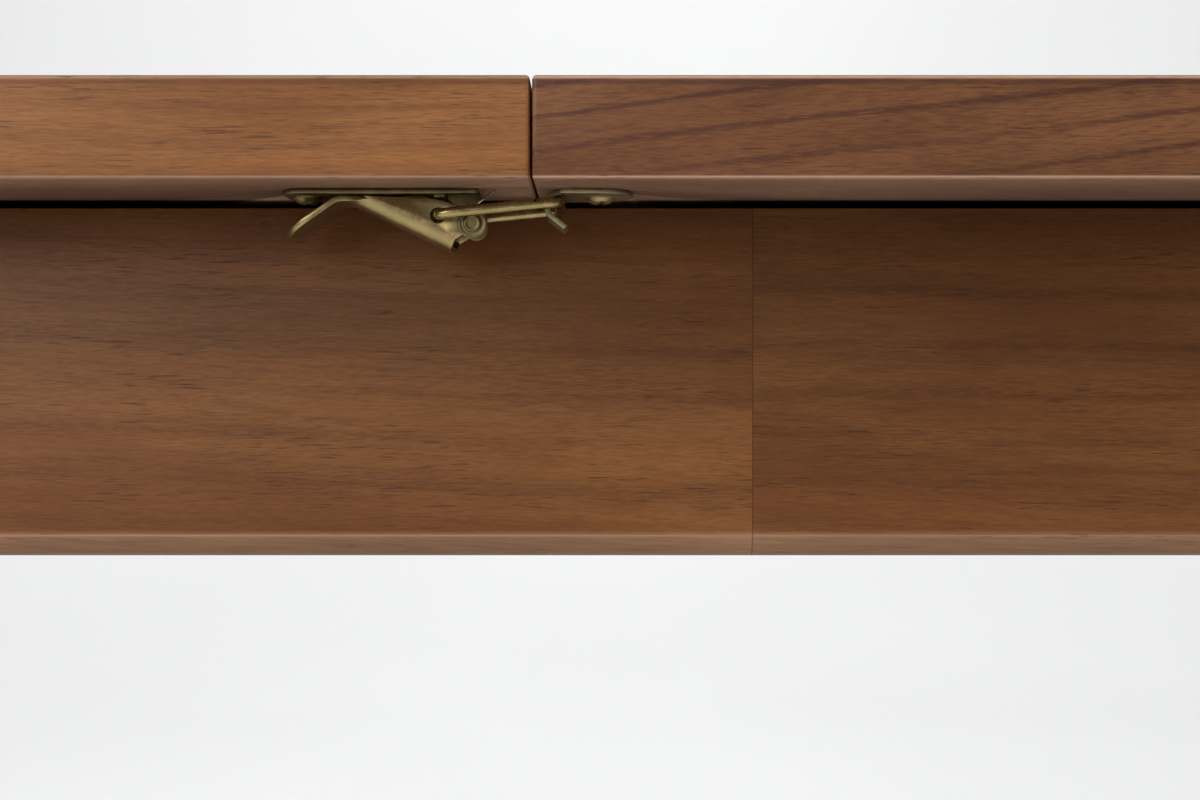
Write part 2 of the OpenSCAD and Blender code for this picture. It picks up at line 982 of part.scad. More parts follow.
module latch_piece(p) {
    if (p == "latch_plate") latch_plate();
    if (p == "latch_rivet") latch_rivet();
    if (p == "latch_lever") latch_lever();
    if (p == "latch_bail") latch_bail();
    if (p == "strike_plate") strike_plate();
}

// The two halves, the leaf and the dowels
top_left();
top_right();
leaf_panel();
alignment_dowels();
leaf_dowels();

// The frame
for (s = SIDES)
    long_apron(s[1]);
for (h = HALVES)
    end_apron(h[1]);
for (c = CORNERS)
    leg(c[1], c[2]);
for (c = CORNERS)
    corner_block(c[1], c[2]);
for (s = SIDES)
    guide_rail(s[1]);
for (h = HALVES)
    cross_rail(h[1]);
hanger_bolts();
bolt_washers();
bolt_nuts();
block_screws();
foot_glides();
slide_pads();
rail_screws();

// What slides with the halves
for (h = HALVES)
    for (s = SIDES)
        runner(h[1], s[1]);
runner_screws(-1);  // runner_screws_left
runner_screws(1);  // runner_screws_right
at_main_seam() latch_screws();
at_main_seam() strike_screws();

// The stored leaf's own hardware
in_stored_leaf(leaf_seam) latch_screws();  // leaf_latch_screws
in_stored_leaf(-leaf_seam) strike_screws();  // leaf_strike_screws

// The latches and strikes of the halves, and those of the leaf
for (p = LATCH_PIECES)
    for (s = SIDES)
        translate([0, s[1] * latch_y, under_z])
                latch_piece(p);
for (p = LATCH_PIECES)
    for (s = SIDES)
        in_stored_leaf(p == "strike_plate" ? -leaf_seam : leaf_seam)
                translate([0, s[1] * latch_y, 0])
                    latch_piece(p);
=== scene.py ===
# Looks of an extending dining table: stained hardwood boards, aprons and legs, plated draw latches,
# plain inner rails and steel fasteners, on a pale studio floor.
from math import atan2, cos, hypot, pi, radians, sin, sqrt, tan

import bmesh
import bpy
from mathutils import Matrix, Vector


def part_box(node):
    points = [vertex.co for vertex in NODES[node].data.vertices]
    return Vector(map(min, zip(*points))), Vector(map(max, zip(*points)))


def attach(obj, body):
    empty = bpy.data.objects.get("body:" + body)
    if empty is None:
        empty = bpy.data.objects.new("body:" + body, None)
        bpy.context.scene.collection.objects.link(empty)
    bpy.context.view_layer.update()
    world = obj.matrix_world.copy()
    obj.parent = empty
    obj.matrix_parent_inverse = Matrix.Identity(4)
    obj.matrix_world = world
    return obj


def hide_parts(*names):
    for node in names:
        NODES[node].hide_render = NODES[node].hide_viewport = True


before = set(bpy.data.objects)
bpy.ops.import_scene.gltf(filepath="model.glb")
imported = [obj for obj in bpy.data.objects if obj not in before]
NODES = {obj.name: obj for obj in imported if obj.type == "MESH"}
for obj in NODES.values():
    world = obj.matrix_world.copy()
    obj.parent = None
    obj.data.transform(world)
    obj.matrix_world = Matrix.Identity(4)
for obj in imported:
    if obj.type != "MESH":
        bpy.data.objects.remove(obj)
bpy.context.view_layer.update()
SCENE = bpy.context.scene
MM = 0.001
SIDES = ("front", "back")
HALVES = ("left", "right")
CORNERS = ("front_left", "front_right", "back_left", "back_right")


# Small helpers for shader and geometry node trees
class Shader:
    """Adds nodes to one node tree, with short calls for the kinds used here."""

    def __init__(self, tree):
        self.tree = tree

    def add(self, kind, settings=None, **sockets):
        node = self.tree.nodes.new(kind)
        for name, value in (settings or {}).items():
            setattr(node, name, value)
        for name, value in sockets.items():
            self.put(node, name.replace("_", " "), value)
        return node

    def put(self, node, socket, value):
        target = node.inputs[socket]
        if isinstance(value, bpy.types.NodeSocket):
            self.tree.links.new(value, target)
        else:
            target.default_value = value

    def out(self, kind, settings=None, **sockets):
        """Adds a node and gives its first output."""
        return self.add(kind, settings, **sockets).outputs[0]

    def math(self, operation, a, b=0.0):
        node = self.add("ShaderNodeMath", {"operation": operation})
        self.put(node, 0, a)
        self.put(node, 1, b)
        return node.outputs[0]

    def plus(self, a, b):
        return self.math("ADD", a, b)

    def minus(self, a, b):
        return self.math("SUBTRACT", a, b)

    def times(self, a, b):
        return self.math("MULTIPLY", a, b)

    def vector(self, operation, a, b):
        """A vector operation; SCALE takes a single number as b."""
        node = self.add("ShaderNodeVectorMath", {"operation": operation})
        self.put(node, 0, a)
        self.put(node, 3 if operation == "SCALE" else 1, b)
        return node.outputs[0]

    def mix(self, factor, a, b):
        node = self.add("ShaderNodeMix", {"data_type": "RGBA"})
        self.put(node, 0, factor)
        self.put(node, 6, a)
        self.put(node, 7, b)
        return node.outputs[2]

    def noise(self, vector, scale=1.0, detail=2.0, roughness=0.5):
        """Noise of one scale, or of its own scale in each direction where three are given."""
        if isinstance(scale, tuple):
            vector, scale = self.vector("MULTIPLY", vector, scale), 1.0
        return self.out("ShaderNodeTexNoise", Vector=vector, Scale=scale, Detail=detail,
                        Roughness=roughness)

    def white_noise(self, x, y, z):
        return self.add("ShaderNodeTexWhiteNoise", Vector=self.join(x, y, z)).outputs

    def band(self, value, low, high, to_low=0.0, to_high=1.0):
        return self.out("ShaderNodeMapRange", {"interpolation_type": "SMOOTHSTEP"}, Value=value,
                        From_Min=low, From_Max=high, To_Min=to_low, To_Max=to_high)

    def hump(self, value, start, full, fading, end, top=1.0):
        """Rises between start and full, and falls again between fading and end."""
        return self.times(self.band(value, start, full), self.band(value, fading, end, top, 0.0))

    def parts(self, vector):
        return self.add("ShaderNodeSeparateXYZ", Vector=vector).outputs

    def join(self, x, y, z):
        return self.out("ShaderNodeCombineXYZ", X=x, Y=y, Z=z)


SURFACE_SOCKETS = [("Color", "Color"), ("Roughness", "Float"), ("Height", "Float")]
TONES = ("Base", "Light", "Dark", "Pore", "Edge")


def new_group(name, inputs, outputs=SURFACE_SOCKETS, kind="ShaderNodeTree"):
    """A node group with named sockets, each given as (name, kind) or (name, kind, default)."""
    tree = bpy.data.node_groups.new(name, kind)
    for direction, sockets in (("INPUT", inputs), ("OUTPUT", outputs)):
        for label, sort, *default in sockets:
            item = tree.interface.new_socket(label, in_out=direction, socket_type="NodeSocket" + sort)
            if default:
                item.default_value = default[0]
    return Shader(tree), tree.nodes.new("NodeGroupInput").outputs, tree.nodes.new("NodeGroupOutput")


def make_wood_group():
    """Stained hardwood with staves, figure, fibre and pores; the grain runs along the vector's X."""
    amounts = {"Stave Length": 0.42, "Stave Width": 0.07, "Stave Height": 0.5, "Stave Contrast": 0.25,
               "Streaks": 0.7, "Pores": 0.8, "Tilt": 0.05, "Seed": 0.0, "Lean": 0.0, "Ring Count": 190.0,
               "Edge Mask": 0.0, "Rub Mask": 0.0}
    s, g, result = new_group("stained_wood", [("Vector", "Vector")] + [(tone, "Color") for tone in TONES]
                             + [(name, "Float", value) for name, value in amounts.items()])
    x, y, z = s.parts(g["Vector"])

    # Staves: rows across the board, each cut to lengths at its own offset
    across = s.math("DIVIDE", y, g["Stave Width"])
    upward = s.math("DIVIDE", z, g["Stave Height"])
    row_y, row_z = s.math("FLOOR", across), s.math("FLOOR", upward)
    row = s.white_noise(row_y, row_z, g["Seed"])["Value"]
    along = s.plus(s.math("DIVIDE", x, g["Stave Length"]), s.times(row, 7.3))
    column = s.math("FLOOR", along)
    stave = s.white_noise(s.plus(column, s.times(row, 91.0)), row_y, s.plus(row_z, g["Seed"]))
    shade = stave["Value"]

    def near_border(ratio, size, line):
        place = s.math("FRACT", ratio)
        edge = s.math("MINIMUM", place, s.minus(1.0, place))
        return s.band(s.times(edge, size), line * 0.3, line, 1.0, 0.0)

    butt_line, glue_line = 0.00022, 0.00012
    butt = near_border(along, g["Stave Length"], butt_line)
    glue = s.math("MAXIMUM", near_border(across, g["Stave Width"], glue_line),
                  near_border(upward, g["Stave Height"], glue_line))
    joint = s.math("MAXIMUM", s.times(butt, 0.55), s.times(glue, 0.35))

    # Each stave takes its grain from another part of the tree, and leans a little
    lean = s.plus(g["Lean"], s.times(s.minus(shade, 0.5), g["Tilt"]))
    shift = s.vector("MULTIPLY", stave["Color"], (5.0, 3.0, 3.0))
    leaning = s.join(x, s.plus(y, s.times(x, lean)), s.minus(z, s.times(x, lean)))
    place = s.vector("ADD", leaning, shift)
    level = s.vector("ADD", g["Vector"], shift)
    drift = s.noise(place, (6.0, 16.0, 16.0), 3.0)
    wave = s.times(s.minus(drift, 0.5), 0.006)
    place = s.vector("ADD", place, s.join(0.0, wave, wave))
    _, py, pz = s.parts(place)

    # Growth rings cut lengthwise, as soft uneven bands
    ring_noise = s.noise(place, (4.0, 90.0, 90.0))
    ring = s.plus(s.times(s.plus(pz, s.times(py, 0.2)), g["Ring Count"]), s.times(ring_noise, 0.45))
    ring = s.hump(s.math("FRACT", ring), 0.68, 0.82, 0.86, 0.98)
    broad = s.noise(place, (5.0, 40.0, 40.0), 3.0)
    fibre = s.noise(level, (270.0, 2800.0, 2800.0), 3.0, 0.65)
    coarse = s.noise(place, (55.0, 1300.0, 1300.0), 3.0, 0.6)
    speck = s.noise(level, (150.0, 3000.0, 3000.0))
    tone = s.noise(place, (4.0, 85.0, 85.0), 3.0, 0.6)
    crowd = s.noise(place, (16.0, 150.0, 150.0))
    blotch = s.noise(place, (9.0, 26.0, 26.0), 3.0, 0.55)

    pores = s.times(s.band(speck, 0.58, 0.70), s.band(crowd, 0.42, 0.62, 0.0, 0.8))
    pores = s.times(pores, g["Pores"])
    streak = s.times(s.times(ring, s.band(broad, 0.38, 0.60)), s.band(fibre, 0.26, 0.50))
    streak = s.times(streak, g["Streaks"])

    # The color: stain and fibre, the tone of each stave, the painted light on the lit lower edges and the
    # painted highlight lines along the arrises, pores and joints
    color = s.mix(s.band(blotch, 0.34, 0.66), g["Base"], g["Light"])
    color = s.mix(s.band(coarse, 0.46, 0.64, 0.05, 0.32), color, g["Dark"])
    color = s.mix(streak, color, g["Dark"])
    color = s.mix(s.band(fibre, 0.42, 0.64, 0.13, 0.46), color, g["Dark"])
    color = s.mix(s.band(fibre, 0.30, 0.42, 0.3, 0.0), color, g["Light"])
    lift = s.plus(1.0, s.times(s.minus(shade, 0.5), g["Stave Contrast"]))
    lift = s.times(lift, s.band(tone, 0.32, 0.68, 0.84, 1.16))
    color = s.vector("SCALE", color, lift)
    # Painted light: below the lower edge the color turns to the lighter, greyer edge color, which stands in
    # for the light that lower edges and undersides catch from below
    worn = s.times(g["Edge Mask"], s.band(fibre, 0.1, 0.9, 1.0, 0.7))
    lit_edge_color = s.vector("SCALE", g["Edge"], s.band(blotch, 0.3, 0.7, 0.78, 1.04))
    lit_edge_color = s.vector("SCALE", lit_edge_color, s.band(coarse, 0.42, 0.66, 1.03, 0.86))
    color = s.mix(worn, color, lit_edge_color)
    # Painted highlight: thin lighter lines along the arrises, in the lighter edge color
    rubbed = s.times(g["Rub Mask"], s.band(coarse, 0.3, 0.6, 0.75, 1.0))
    color = s.mix(rubbed, color, s.vector("SCALE", g["Edge"], 1.08))
    color = s.mix(pores, color, g["Pore"])
    s.put(result, "Color", s.mix(joint, color, g["Pore"]))
    rough = s.plus(s.times(pores, 0.22), s.band(fibre, 0.2, 0.8, 0.0, 0.06))
    s.put(result, "Roughness", s.plus(rough, s.band(blotch, 0.3, 0.7, 0.36, 0.42)))
    height = s.minus(s.times(fibre, 0.25), pores)
    s.put(result, "Height", s.minus(height, s.times(joint, 0.6)))
    return s.tree


def make_metal_group():
    """Plated or bare metal: blotches, rolling marks, fine scratches and dirt."""
    s, g, result = new_group(
        "worn_metal",
        [("Vector", "Vector"), ("Base", "Color"), ("Worn", "Color"), ("Dirt", "Color"),
         ("Roughness", "Float"), ("Wear", "Float")])
    cloud = s.noise(g["Vector"], 320.0, 3.0, 0.6)
    grit = s.noise(g["Vector"], 2600.0, 2.0, 0.6)
    rolled = s.noise(g["Vector"], (60.0, 2400.0, 900.0), 3.0, 0.65)
    worn = s.times(s.band(s.times(cloud, s.plus(rolled, 0.45)), 0.40, 0.62), g["Wear"])
    color = s.mix(worn, g["Base"], g["Worn"])
    s.put(result, "Color", s.mix(s.band(grit, 0.62, 0.78, 0.0, 0.35), color, g["Dirt"]))
    rough = s.plus(g["Roughness"], s.times(s.minus(rolled, 0.5), 0.25))
    s.put(result, "Roughness", s.plus(rough, s.times(worn, 0.12)))
    s.put(result, "Height", s.plus(s.times(rolled, 0.6), s.times(grit, 0.4)))
    return s.tree


def make_band_group():
    """The rubbed, cross-scratched band on the lever, a little above its lower fold."""
    s, g, result = new_group("rubbed_band", [("Vector", "Vector")], [("Mask", "Float")])
    x, _, z = s.parts(g["Vector"])
    # The lower fold lies at (-fold_x, -fold_z), and the web rises from it with this cosine and sine
    fold_x, fold_z, web_cos, web_sin = 0.01666, 0.01267, 0.9026, 0.4305
    middle_rise, ragged_by = 0.0021, 0.0014
    rise = s.plus(s.times(s.plus(x, fold_x), web_sin), s.times(s.plus(z, fold_z), web_cos))
    along = s.minus(s.times(x, web_cos), s.times(z, web_sin))
    ragged = s.noise(s.join(s.times(along, 420.0), 0.0, 0.0), 1.0, 3.0, 0.6)
    middle = s.minus(s.minus(rise, middle_rise), s.times(s.minus(ragged, 0.5), ragged_by))
    inside = s.band(s.math("ABSOLUTE", middle), 0.0004, 0.0011, 1.0, 0.0)
    cuts = s.noise(s.join(s.times(along, 2600.0), s.times(rise, 300.0), 0.0), 1.0, 2.0, 0.6)
    s.put(result, "Mask", s.times(inside, s.band(cuts, 0.36, 0.62, 0.0, 0.8)))
    return s.tree


WOOD_GROUP = make_wood_group()
METAL_GROUP = make_metal_group()
BAND_GROUP = make_band_group()


# Materials
def start_material(name):
    material = bpy.data.materials.new(name)
    material.use_nodes = True
    return material, Shader(material.node_tree), material.node_tree.nodes["Principled BSDF"]


def object_place(s):
    return s.add("ShaderNodeTexCoord").outputs["Object"]


def finish_surface(s, bsdf, group, bump_depth, bump_strength):
    s.put(bsdf, "Base Color", group.outputs["Color"])
    s.put(bsdf, "Roughness", group.outputs["Roughness"])
    s.put(bsdf, "Normal", s.out("ShaderNodeBump", Strength=bump_strength, Distance=bump_depth,
                                Height=group.outputs["Height"]))


# Directions of the grain: the turn that brings a piece's length onto the pattern's X
ALONG_X = (0.0, 0.0, 0.0)
ALONG_Y = (0.0, 0.0, radians(-90))
ALONG_Z = (0.0, radians(90), 0.0)


def stain(*colors):
    """The colors of a wood finish, in the order of TONES."""
    return {tone: (*color, 1) for tone, color in zip(TONES, colors)}


# The Edge tone is lighter and greyer than the stain: painted light for the lit lower edges and undersides
TOP_STAIN = stain((0.260, 0.100, 0.029), (0.370, 0.160, 0.055), (0.155, 0.053, 0.019),
                  (0.070, 0.022, 0.012), (0.34, 0.20, 0.13))
DARK_STAIN = stain((0.176, 0.070, 0.026), (0.210, 0.088, 0.033), (0.072, 0.027, 0.017),
                   (0.042, 0.016, 0.012), (0.34, 0.20, 0.13))
FRAME_STAIN = stain((0.150, 0.054, 0.016), (0.205, 0.083, 0.025), (0.085, 0.030, 0.010),
                    (0.034, 0.013, 0.006), (0.29, 0.155, 0.085))
PLAIN_WOOD = stain((0.42, 0.27, 0.13), (0.50, 0.34, 0.18), (0.30, 0.17, 0.08), (0.20, 0.11, 0.05),
                   (0.50, 0.34, 0.18))
# How much lighter the painted light makes the lower part of a board, how deep the wood's pores are, and how
# much wood shines
PAINTED_LIGHT_LIFT = 1.25
WOOD_BUMP_DEPTH, WOOD_BUMP = 0.00006, 0.35
WOOD_SPECULAR = 0.18


def wood(name, tones, grain, origin=(0.0, 0.0, 0.0), low_edge=None, calm_above=None, pale_low=None,
         dark_rim=None, **amounts):
    """A wood finish; low_edge gives the heights between which the color turns to the lighter edge color,
    painted light on the lower edge and the underside, with a painted highlight line just above it.

    The other heights only count together with it. Above calm_above the streaks are fainter. Between
    the two heights of pale_low the color gets lighter on its way down, painted light on the lower part.
    Between the two heights of dark_rim the color is darker, and the arris above them gets a painted
    highlight line.
    """
    material, s, bsdf = start_material(name)
    place = object_place(s)
    mapped = s.out("ShaderNodeMapping", Vector=place, Rotation=grain, Location=origin)
    group = s.add("ShaderNodeGroup", {"node_tree": WOOD_GROUP}, Vector=mapped, **tones, **amounts)
    if low_edge:
        height, low = s.parts(place)[2], low_edge[0]
        # Painted light: the lighter edge color below the lower edge's heights
        s.put(group, "Edge Mask", s.band(height, *low_edge, 1.0, 0.0))
        # Painted highlight: a thin lighter line just above the lower edge's first height
        arris_highlight = s.hump(height, low + 0.0002, low + 0.0005, low + 0.0006, low + 0.0009)
        if calm_above:
            streaks = amounts["Streaks"]
            s.put(group, "Streaks", s.band(height, calm_above - 0.0006, calm_above, streaks, 0.25 * streaks))
        # Painted light: between these heights the colors get lighter on the way down, for the light that
        # falls more on the lower part
        if pale_low:
            fade = s.band(height, *pale_low, 1.0, 0.0)
            for tone in ("Base", "Light", "Dark"):
                lifted_tone = tuple(PAINTED_LIGHT_LIFT * c for c in tones[tone][:3]) + (1,)
                s.put(group, tone, s.mix(fade, tones[tone], lifted_tone))
        # A darker band between these heights, then a painted highlight line on the arris above it
        if dark_rim:
            start, end = dark_rim
            darker_band = s.hump(height, start, start + 0.0006, end - 0.0003, end, 0.6)
            for tone in ("Base", "Light"):
                s.put(group, tone, s.mix(darker_band, tones[tone], tones["Dark"]))
            top_arris_highlight = s.hump(height, end, end + 0.0003, end + 0.0006, end + 0.0009)
            arris_highlight = s.math("MAXIMUM", arris_highlight, top_arris_highlight)
        s.put(group, "Rub Mask", arris_highlight)
    finish_surface(s, bsdf, group, WOOD_BUMP_DEPTH, WOOD_BUMP)
    s.put(bsdf, "Specular IOR Level", WOOD_SPECULAR)
    return material


METAL_BUMP_DEPTH = 0.00002


def metal(name, base, worn, dirt, roughness, wear, bump=0.25, band=None, attribute=None):
    """A metal finish, placed by the mesh's attribute where one is named; band is the rubbed band's color."""
    material, s, bsdf = start_material(name)
    if attribute:
        place = s.add("ShaderNodeAttribute", {"attribute_name": attribute}).outputs["Vector"]
    else:
        place = object_place(s)
    group = s.add("ShaderNodeGroup", {"node_tree": METAL_GROUP}, Vector=place, Base=base, Worn=worn,
                  Dirt=dirt, Roughness=roughness, Wear=wear)
    finish_surface(s, bsdf, group, METAL_BUMP_DEPTH, bump)
    if band:
        mask = s.add("ShaderNodeGroup", {"node_tree": BAND_GROUP}, Vector=place).outputs["Mask"]
        s.put(bsdf, "Base Color", s.mix(mask, group.outputs["Color"], band))
    s.put(bsdf, "Metallic", 1.0)
    return material


def plastic(name, base):
    material, s, bsdf = start_material(name)
    place = object_place(s)
    cloud = s.noise(place, 90.0, 3.0)
    grain = s.noise(place, 1800.0)
    shade = s.mix(s.band(cloud, 0.3, 0.7), base, tuple(0.82 * c for c in base[:3]) + (1,))
    s.put(bsdf, "Base Color", shade)
    s.put(bsdf, "Roughness", s.band(grain, 0.2, 0.8, 0.38, 0.52))
    s.put(bsdf, "Normal", s.out("ShaderNodeBump", Strength=0.2, Distance=0.00005, Height=grain))
    return material


# Mesh helpers
def new_object(name, data):
    made = bpy.data.objects.new(name, data)
    SCENE.collection.objects.link(made)
    return made


def shade_mesh(mesh, sharp):
    mesh.shade_smooth()
    mesh.set_sharp_from_angle(angle=radians(sharp))


def mesh_from(name, bm, sharp=35.0):
    mesh = bpy.data.meshes.new(name)
    bm.to_mesh(mesh)
    bm.free()
    shade_mesh(mesh, sharp)
    return new_object(name, mesh)


def drawn(build):
    """What build draws, with its faces turned outward."""
    bm = bmesh.new()
    build(bm)
    bmesh.ops.recalc_face_normals(bm, faces=bm.faces)
    return bm


def dress(piece, body, node, material):
    """Gives a finished piece its material and body, and hides its CAD node."""
    piece.data.materials.clear()
    piece.data.materials.append(material)
    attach(piece, body)
    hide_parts(node)


WELD, FLAT_ANGLE = 2e-6, 0.4
EASED_ANGLE, EASED_LENGTH = 50.0, 4 * MM


def dress_softened(node, width, body, material):
    """Dresses a CAD node in a copy of itself, its triangles welded and its long outer edges eased.

    The width of the eased edges is in millimetres; 0 leaves them as they are.
    """
    bm = bmesh.new()
    bm.from_mesh(NODES[node].data)
    bmesh.ops.remove_doubles(bm, verts=bm.verts, dist=WELD)
    bmesh.ops.dissolve_limit(bm, angle_limit=radians(FLAT_ANGLE), verts=bm.verts, edges=bm.edges)
    if width:
        edges = [e for e in bm.edges if len(e.link_faces) == 2 and e.calc_length() > EASED_LENGTH
                 and e.calc_face_angle_signed(0.0) > radians(EASED_ANGLE)]
        bmesh.ops.bevel(bm, geom=edges, offset=width * MM, segments=3, profile=0.5, affect="EDGES",
                        clamp_overlap=True)
    bmesh.ops.triangulate(bm, faces=[f for f in bm.faces if len(f.verts) > 4])
    dress(mesh_from("dressed_" + node, bm, 32.0), body, node, material)


def arc(cx, cy, radius, start, end, steps):
    """Points on an arc, with angles in degrees."""
    return [(cx + radius * cos(radians(start + (end - start) * i / steps)),
             cy + radius * sin(radians(start + (end - start) * i / steps)))
            for i in range(steps + 1)]


def bridge(bm, rings):
    """Faces between closed rings that follow one another, with equal numbers of points."""
    faces = []
    for a, b in zip(rings, rings[1:]):
        for i in range(len(a)):
            j = (i + 1) % len(a)
            faces.append(bm.faces.new((a[i], a[j], b[j], b[i])))
    return faces


def around(count):
    """Equal steps of a whole turn."""
    return [2 * pi * k / count for k in range(count)]


def add_lathe(bm, profile, sides, matrix=Matrix.Identity(4)):
    """Spins a profile of (radius, height) points, first and last on the axis, about Z."""
    rings = [[bm.verts.new(matrix @ Vector((radius * cos(a), radius * sin(a), height)))
              for a in around(sides if radius else 1)] for radius, height in profile]
    faces = []
    for a, b in zip(rings, rings[1:]):
        for i in range(sides):
            j = (i + 1) % sides
            corners = [a[i % len(a)], a[j % len(a)], b[j % len(b)], b[i % len(b)]]
            corners = [v for k, v in enumerate(corners) if v not in corners[:k]]
            faces.append(bm.faces.new(corners))
    bmesh.ops.recalc_face_normals(bm, faces=faces)


def add_tube(bm, path, radius, sides=20):
    """Sweeps a round wire along a path, with flat ends."""
    points = [Vector(p) for p in path]
    last = len(points) - 1
    tangents = [(points[min(i + 1, last)] - points[max(i - 1, 0)]).normalized() for i in range(last + 1)]
    across = tangents[0].orthogonal().normalized()
    rings = []
    for point, tangent in zip(points, tangents):
        across = (across - tangent * across.dot(tangent)).normalized()
        up = tangent.cross(across)
        rings.append([bm.verts.new(point + radius * (cos(a) * across + sin(a) * up))
                      for a in around(sides)])
    faces = [bm.faces.new(rings[0]), bm.faces.new(rings[-1])] + bridge(bm, rings)
    bmesh.ops.recalc_face_normals(bm, faces=faces)


# Camera: level, close to the middle of the front edge, a little below the top
TOP_LOW, TOP_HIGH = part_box("top_left")
UNDER_Z = TOP_LOW.z
FRONT_Y = TOP_LOW.y
CAMERA_DISTANCE = 0.375
CAMERA_DROP = 0.0459
CAMERA_RIGHT = 0.0144
camera_data = bpy.data.cameras.new("camera")
camera_data.lens = 54.0
camera_data.clip_start = 0.01
camera = new_object("camera", camera_data)
camera.location = (CAMERA_RIGHT, FRONT_Y - CAMERA_DISTANCE, UNDER_Z - CAMERA_DROP)
camera.rotation_euler = (radians(90), 0, 0)
SCENE.camera = camera

# Wood pieces of the two halves, the leaf and the frame; the heights are explained in wood()
TOP_EDGES = {"low_edge": (0.7281, 0.7293), "calm_above": 0.7498, "dark_rim": (0.7476, 0.7490)}
# The aprons: painted light on the lower edge, and colors painted lighter towards the bottom
APRON_EDGES = {"low_edge": (0.6505, 0.6525), "pale_low": (0.657, 0.690)}
ONE_STAVE = {"Stave_Length": 4.0, "Stave_Width": 0.5, "Pores": 0.5}
TOP_WOOD = {
    "left": wood("stained_top_left", TOP_STAIN, ALONG_X, (0.24, 0.035, 0.0), Seed=3.0, Lean=0.03,
                 Streaks=0.3, Ring_Count=120.0, **TOP_EDGES),
    "right": wood("stained_top_right", DARK_STAIN, ALONG_X, (0.37, 0.035, 0.0), Seed=11.0, Lean=0.17,
                  Streaks=0.85, Ring_Count=140.0, **TOP_EDGES),
}
LEAF_WOOD = wood("stained_leaf", TOP_STAIN, ALONG_Y, (0.2, 0.035, 0.0), Seed=7.0, Streaks=0.35,
                 Ring_Count=120.0)
FRAME_X = wood("stained_frame_long", FRAME_STAIN, ALONG_X, (-0.068, 0.0, 0.0), Seed=5.0, Stave_Height=0.4,
               Stave_Contrast=-0.3, Streaks=0.35, Lean=-0.04, Ring_Count=90.0, **APRON_EDGES)
FRAME_Y = wood("stained_frame_end", FRAME_STAIN, ALONG_Y, Seed=9.0, Stave_Height=0.4, Stave_Contrast=0.12,
               Streaks=0.45, **APRON_EDGES)
FRAME_Z = wood("stained_legs", FRAME_STAIN, ALONG_Z, Seed=13.0, Stave_Length=3.0, Stave_Width=0.3,
               Stave_Contrast=0.1, Streaks=0.45)
INNER_X = wood("plain_rails_long", PLAIN_WOOD, ALONG_X, Seed=2.0, **ONE_STAVE)
INNER_Y = wood("plain_rails_across", PLAIN_WOOD, ALONG_Y, Seed=4.0, **ONE_STAVE)

for half in HALVES:
    dress_softened("top_" + half, 0, half + "_half", TOP_WOOD[half])
dress_softened("leaf_panel", 0, "leaf", LEAF_WOOD)
for side in SIDES:
    dress_softened("apron_" + side, 1.2, "frame", FRAME_X)
    dress_softened("guide_rail_" + side, 0.8, "frame", INNER_X)
for half in HALVES:
    dress_softened("apron_" + half, 1.2, "frame", FRAME_Y)
    dress_softened("cross_rail_" + half, 1.5, "frame", INNER_Y)
    for side in SIDES:
        dress_softened(f"runner_{half}_{side}", 0.8, half + "_half", INNER_X)
for corner in CORNERS:
    dress_softened("leg_" + corner, 2.5, "frame", FRAME_Z)
    dress_softened("corner_block_" + corner, 1.2, "frame", INNER_X)

# Latch parts, in millimetres round their seam: x from the seam, y from the latch's centre line,
# z from the board
SHEET_T = 1.25
LEVER_HALF = 7.0
FOLD_R = 3.0
KNEE_R = 5.2
WEB_SLOPE = 25.5
WEB_LENGTH = 23.85
WEB_END = (-17.74, -12.15)
HANDLE_SLOPE = 35.0
TIP_SLOPE = 34.0
HANDLE_LENGTH = 12.4
WEB_STEPS, KNEE_STEPS, HANDLE_STEPS = 20, 14, 18
FLANGE_START = -42.0
FLANGE_TOP = [(-60.0, -1.38), (-41.0, -1.40), (-35.0, -1.55), (-28.0, -1.80), (-21.5, -2.20), (-19.5, -2.60),
              (-18.0, -3.10), (-16.2, -4.50), (-14.6, -6.20), (-14.5, -20.0)]
PIVOT = (-13.35, -7.5)
BAIL_HOLE = (-20.6, -5.7)
BAIL_BAR = (5.6, -3.1)
WIRE_R = 1.18
WIRE_Y = 9.65
PLATE_T = 1.2
PLATE_EASE = 0.36
PLATE_HALF = 9.0
EAR_OUT = 5.65
HOOK_MID = (5.8, -3.6)
HOOK_R = 3.58
HOOK_END = 232
HOOK_STEPS = 22
TONGUE_LENGTH = 3.7
STRIKE_SCREW_X = 14.4
PLATE_SCREWS = (-50.0, -27.0)
SCREW_HOLE_R = 1.8
# How far a plate stays clear of the board, so that their faces never coincide
BOARD_GAP = 0.02


def inset(loop, distance):
    """Moves a loop towards its left side; an outline runs anticlockwise and a hole clockwise."""
    moved = []
    count = len(loop)
    for i, point in enumerate(loop):
        before, after = point - loop[i - 1], loop[(i + 1) % count] - point
        a = Vector((-before.y, before.x)).normalized()
        b = Vector((-after.y, after.x)).normalized()
        moved.append(point + (a + b) * (distance / max(0.35, 1.0 + a.dot(b))))
    return moved


def circle_loop(cx, cy, radius, sides):
    return arc(cx, cy, radius, 0, 360, sides)[:-1]


def flat_put(u, v, height):
    return Vector((u, v, height))


def upright_put(u, v, height):
    return Vector((u, height, v))


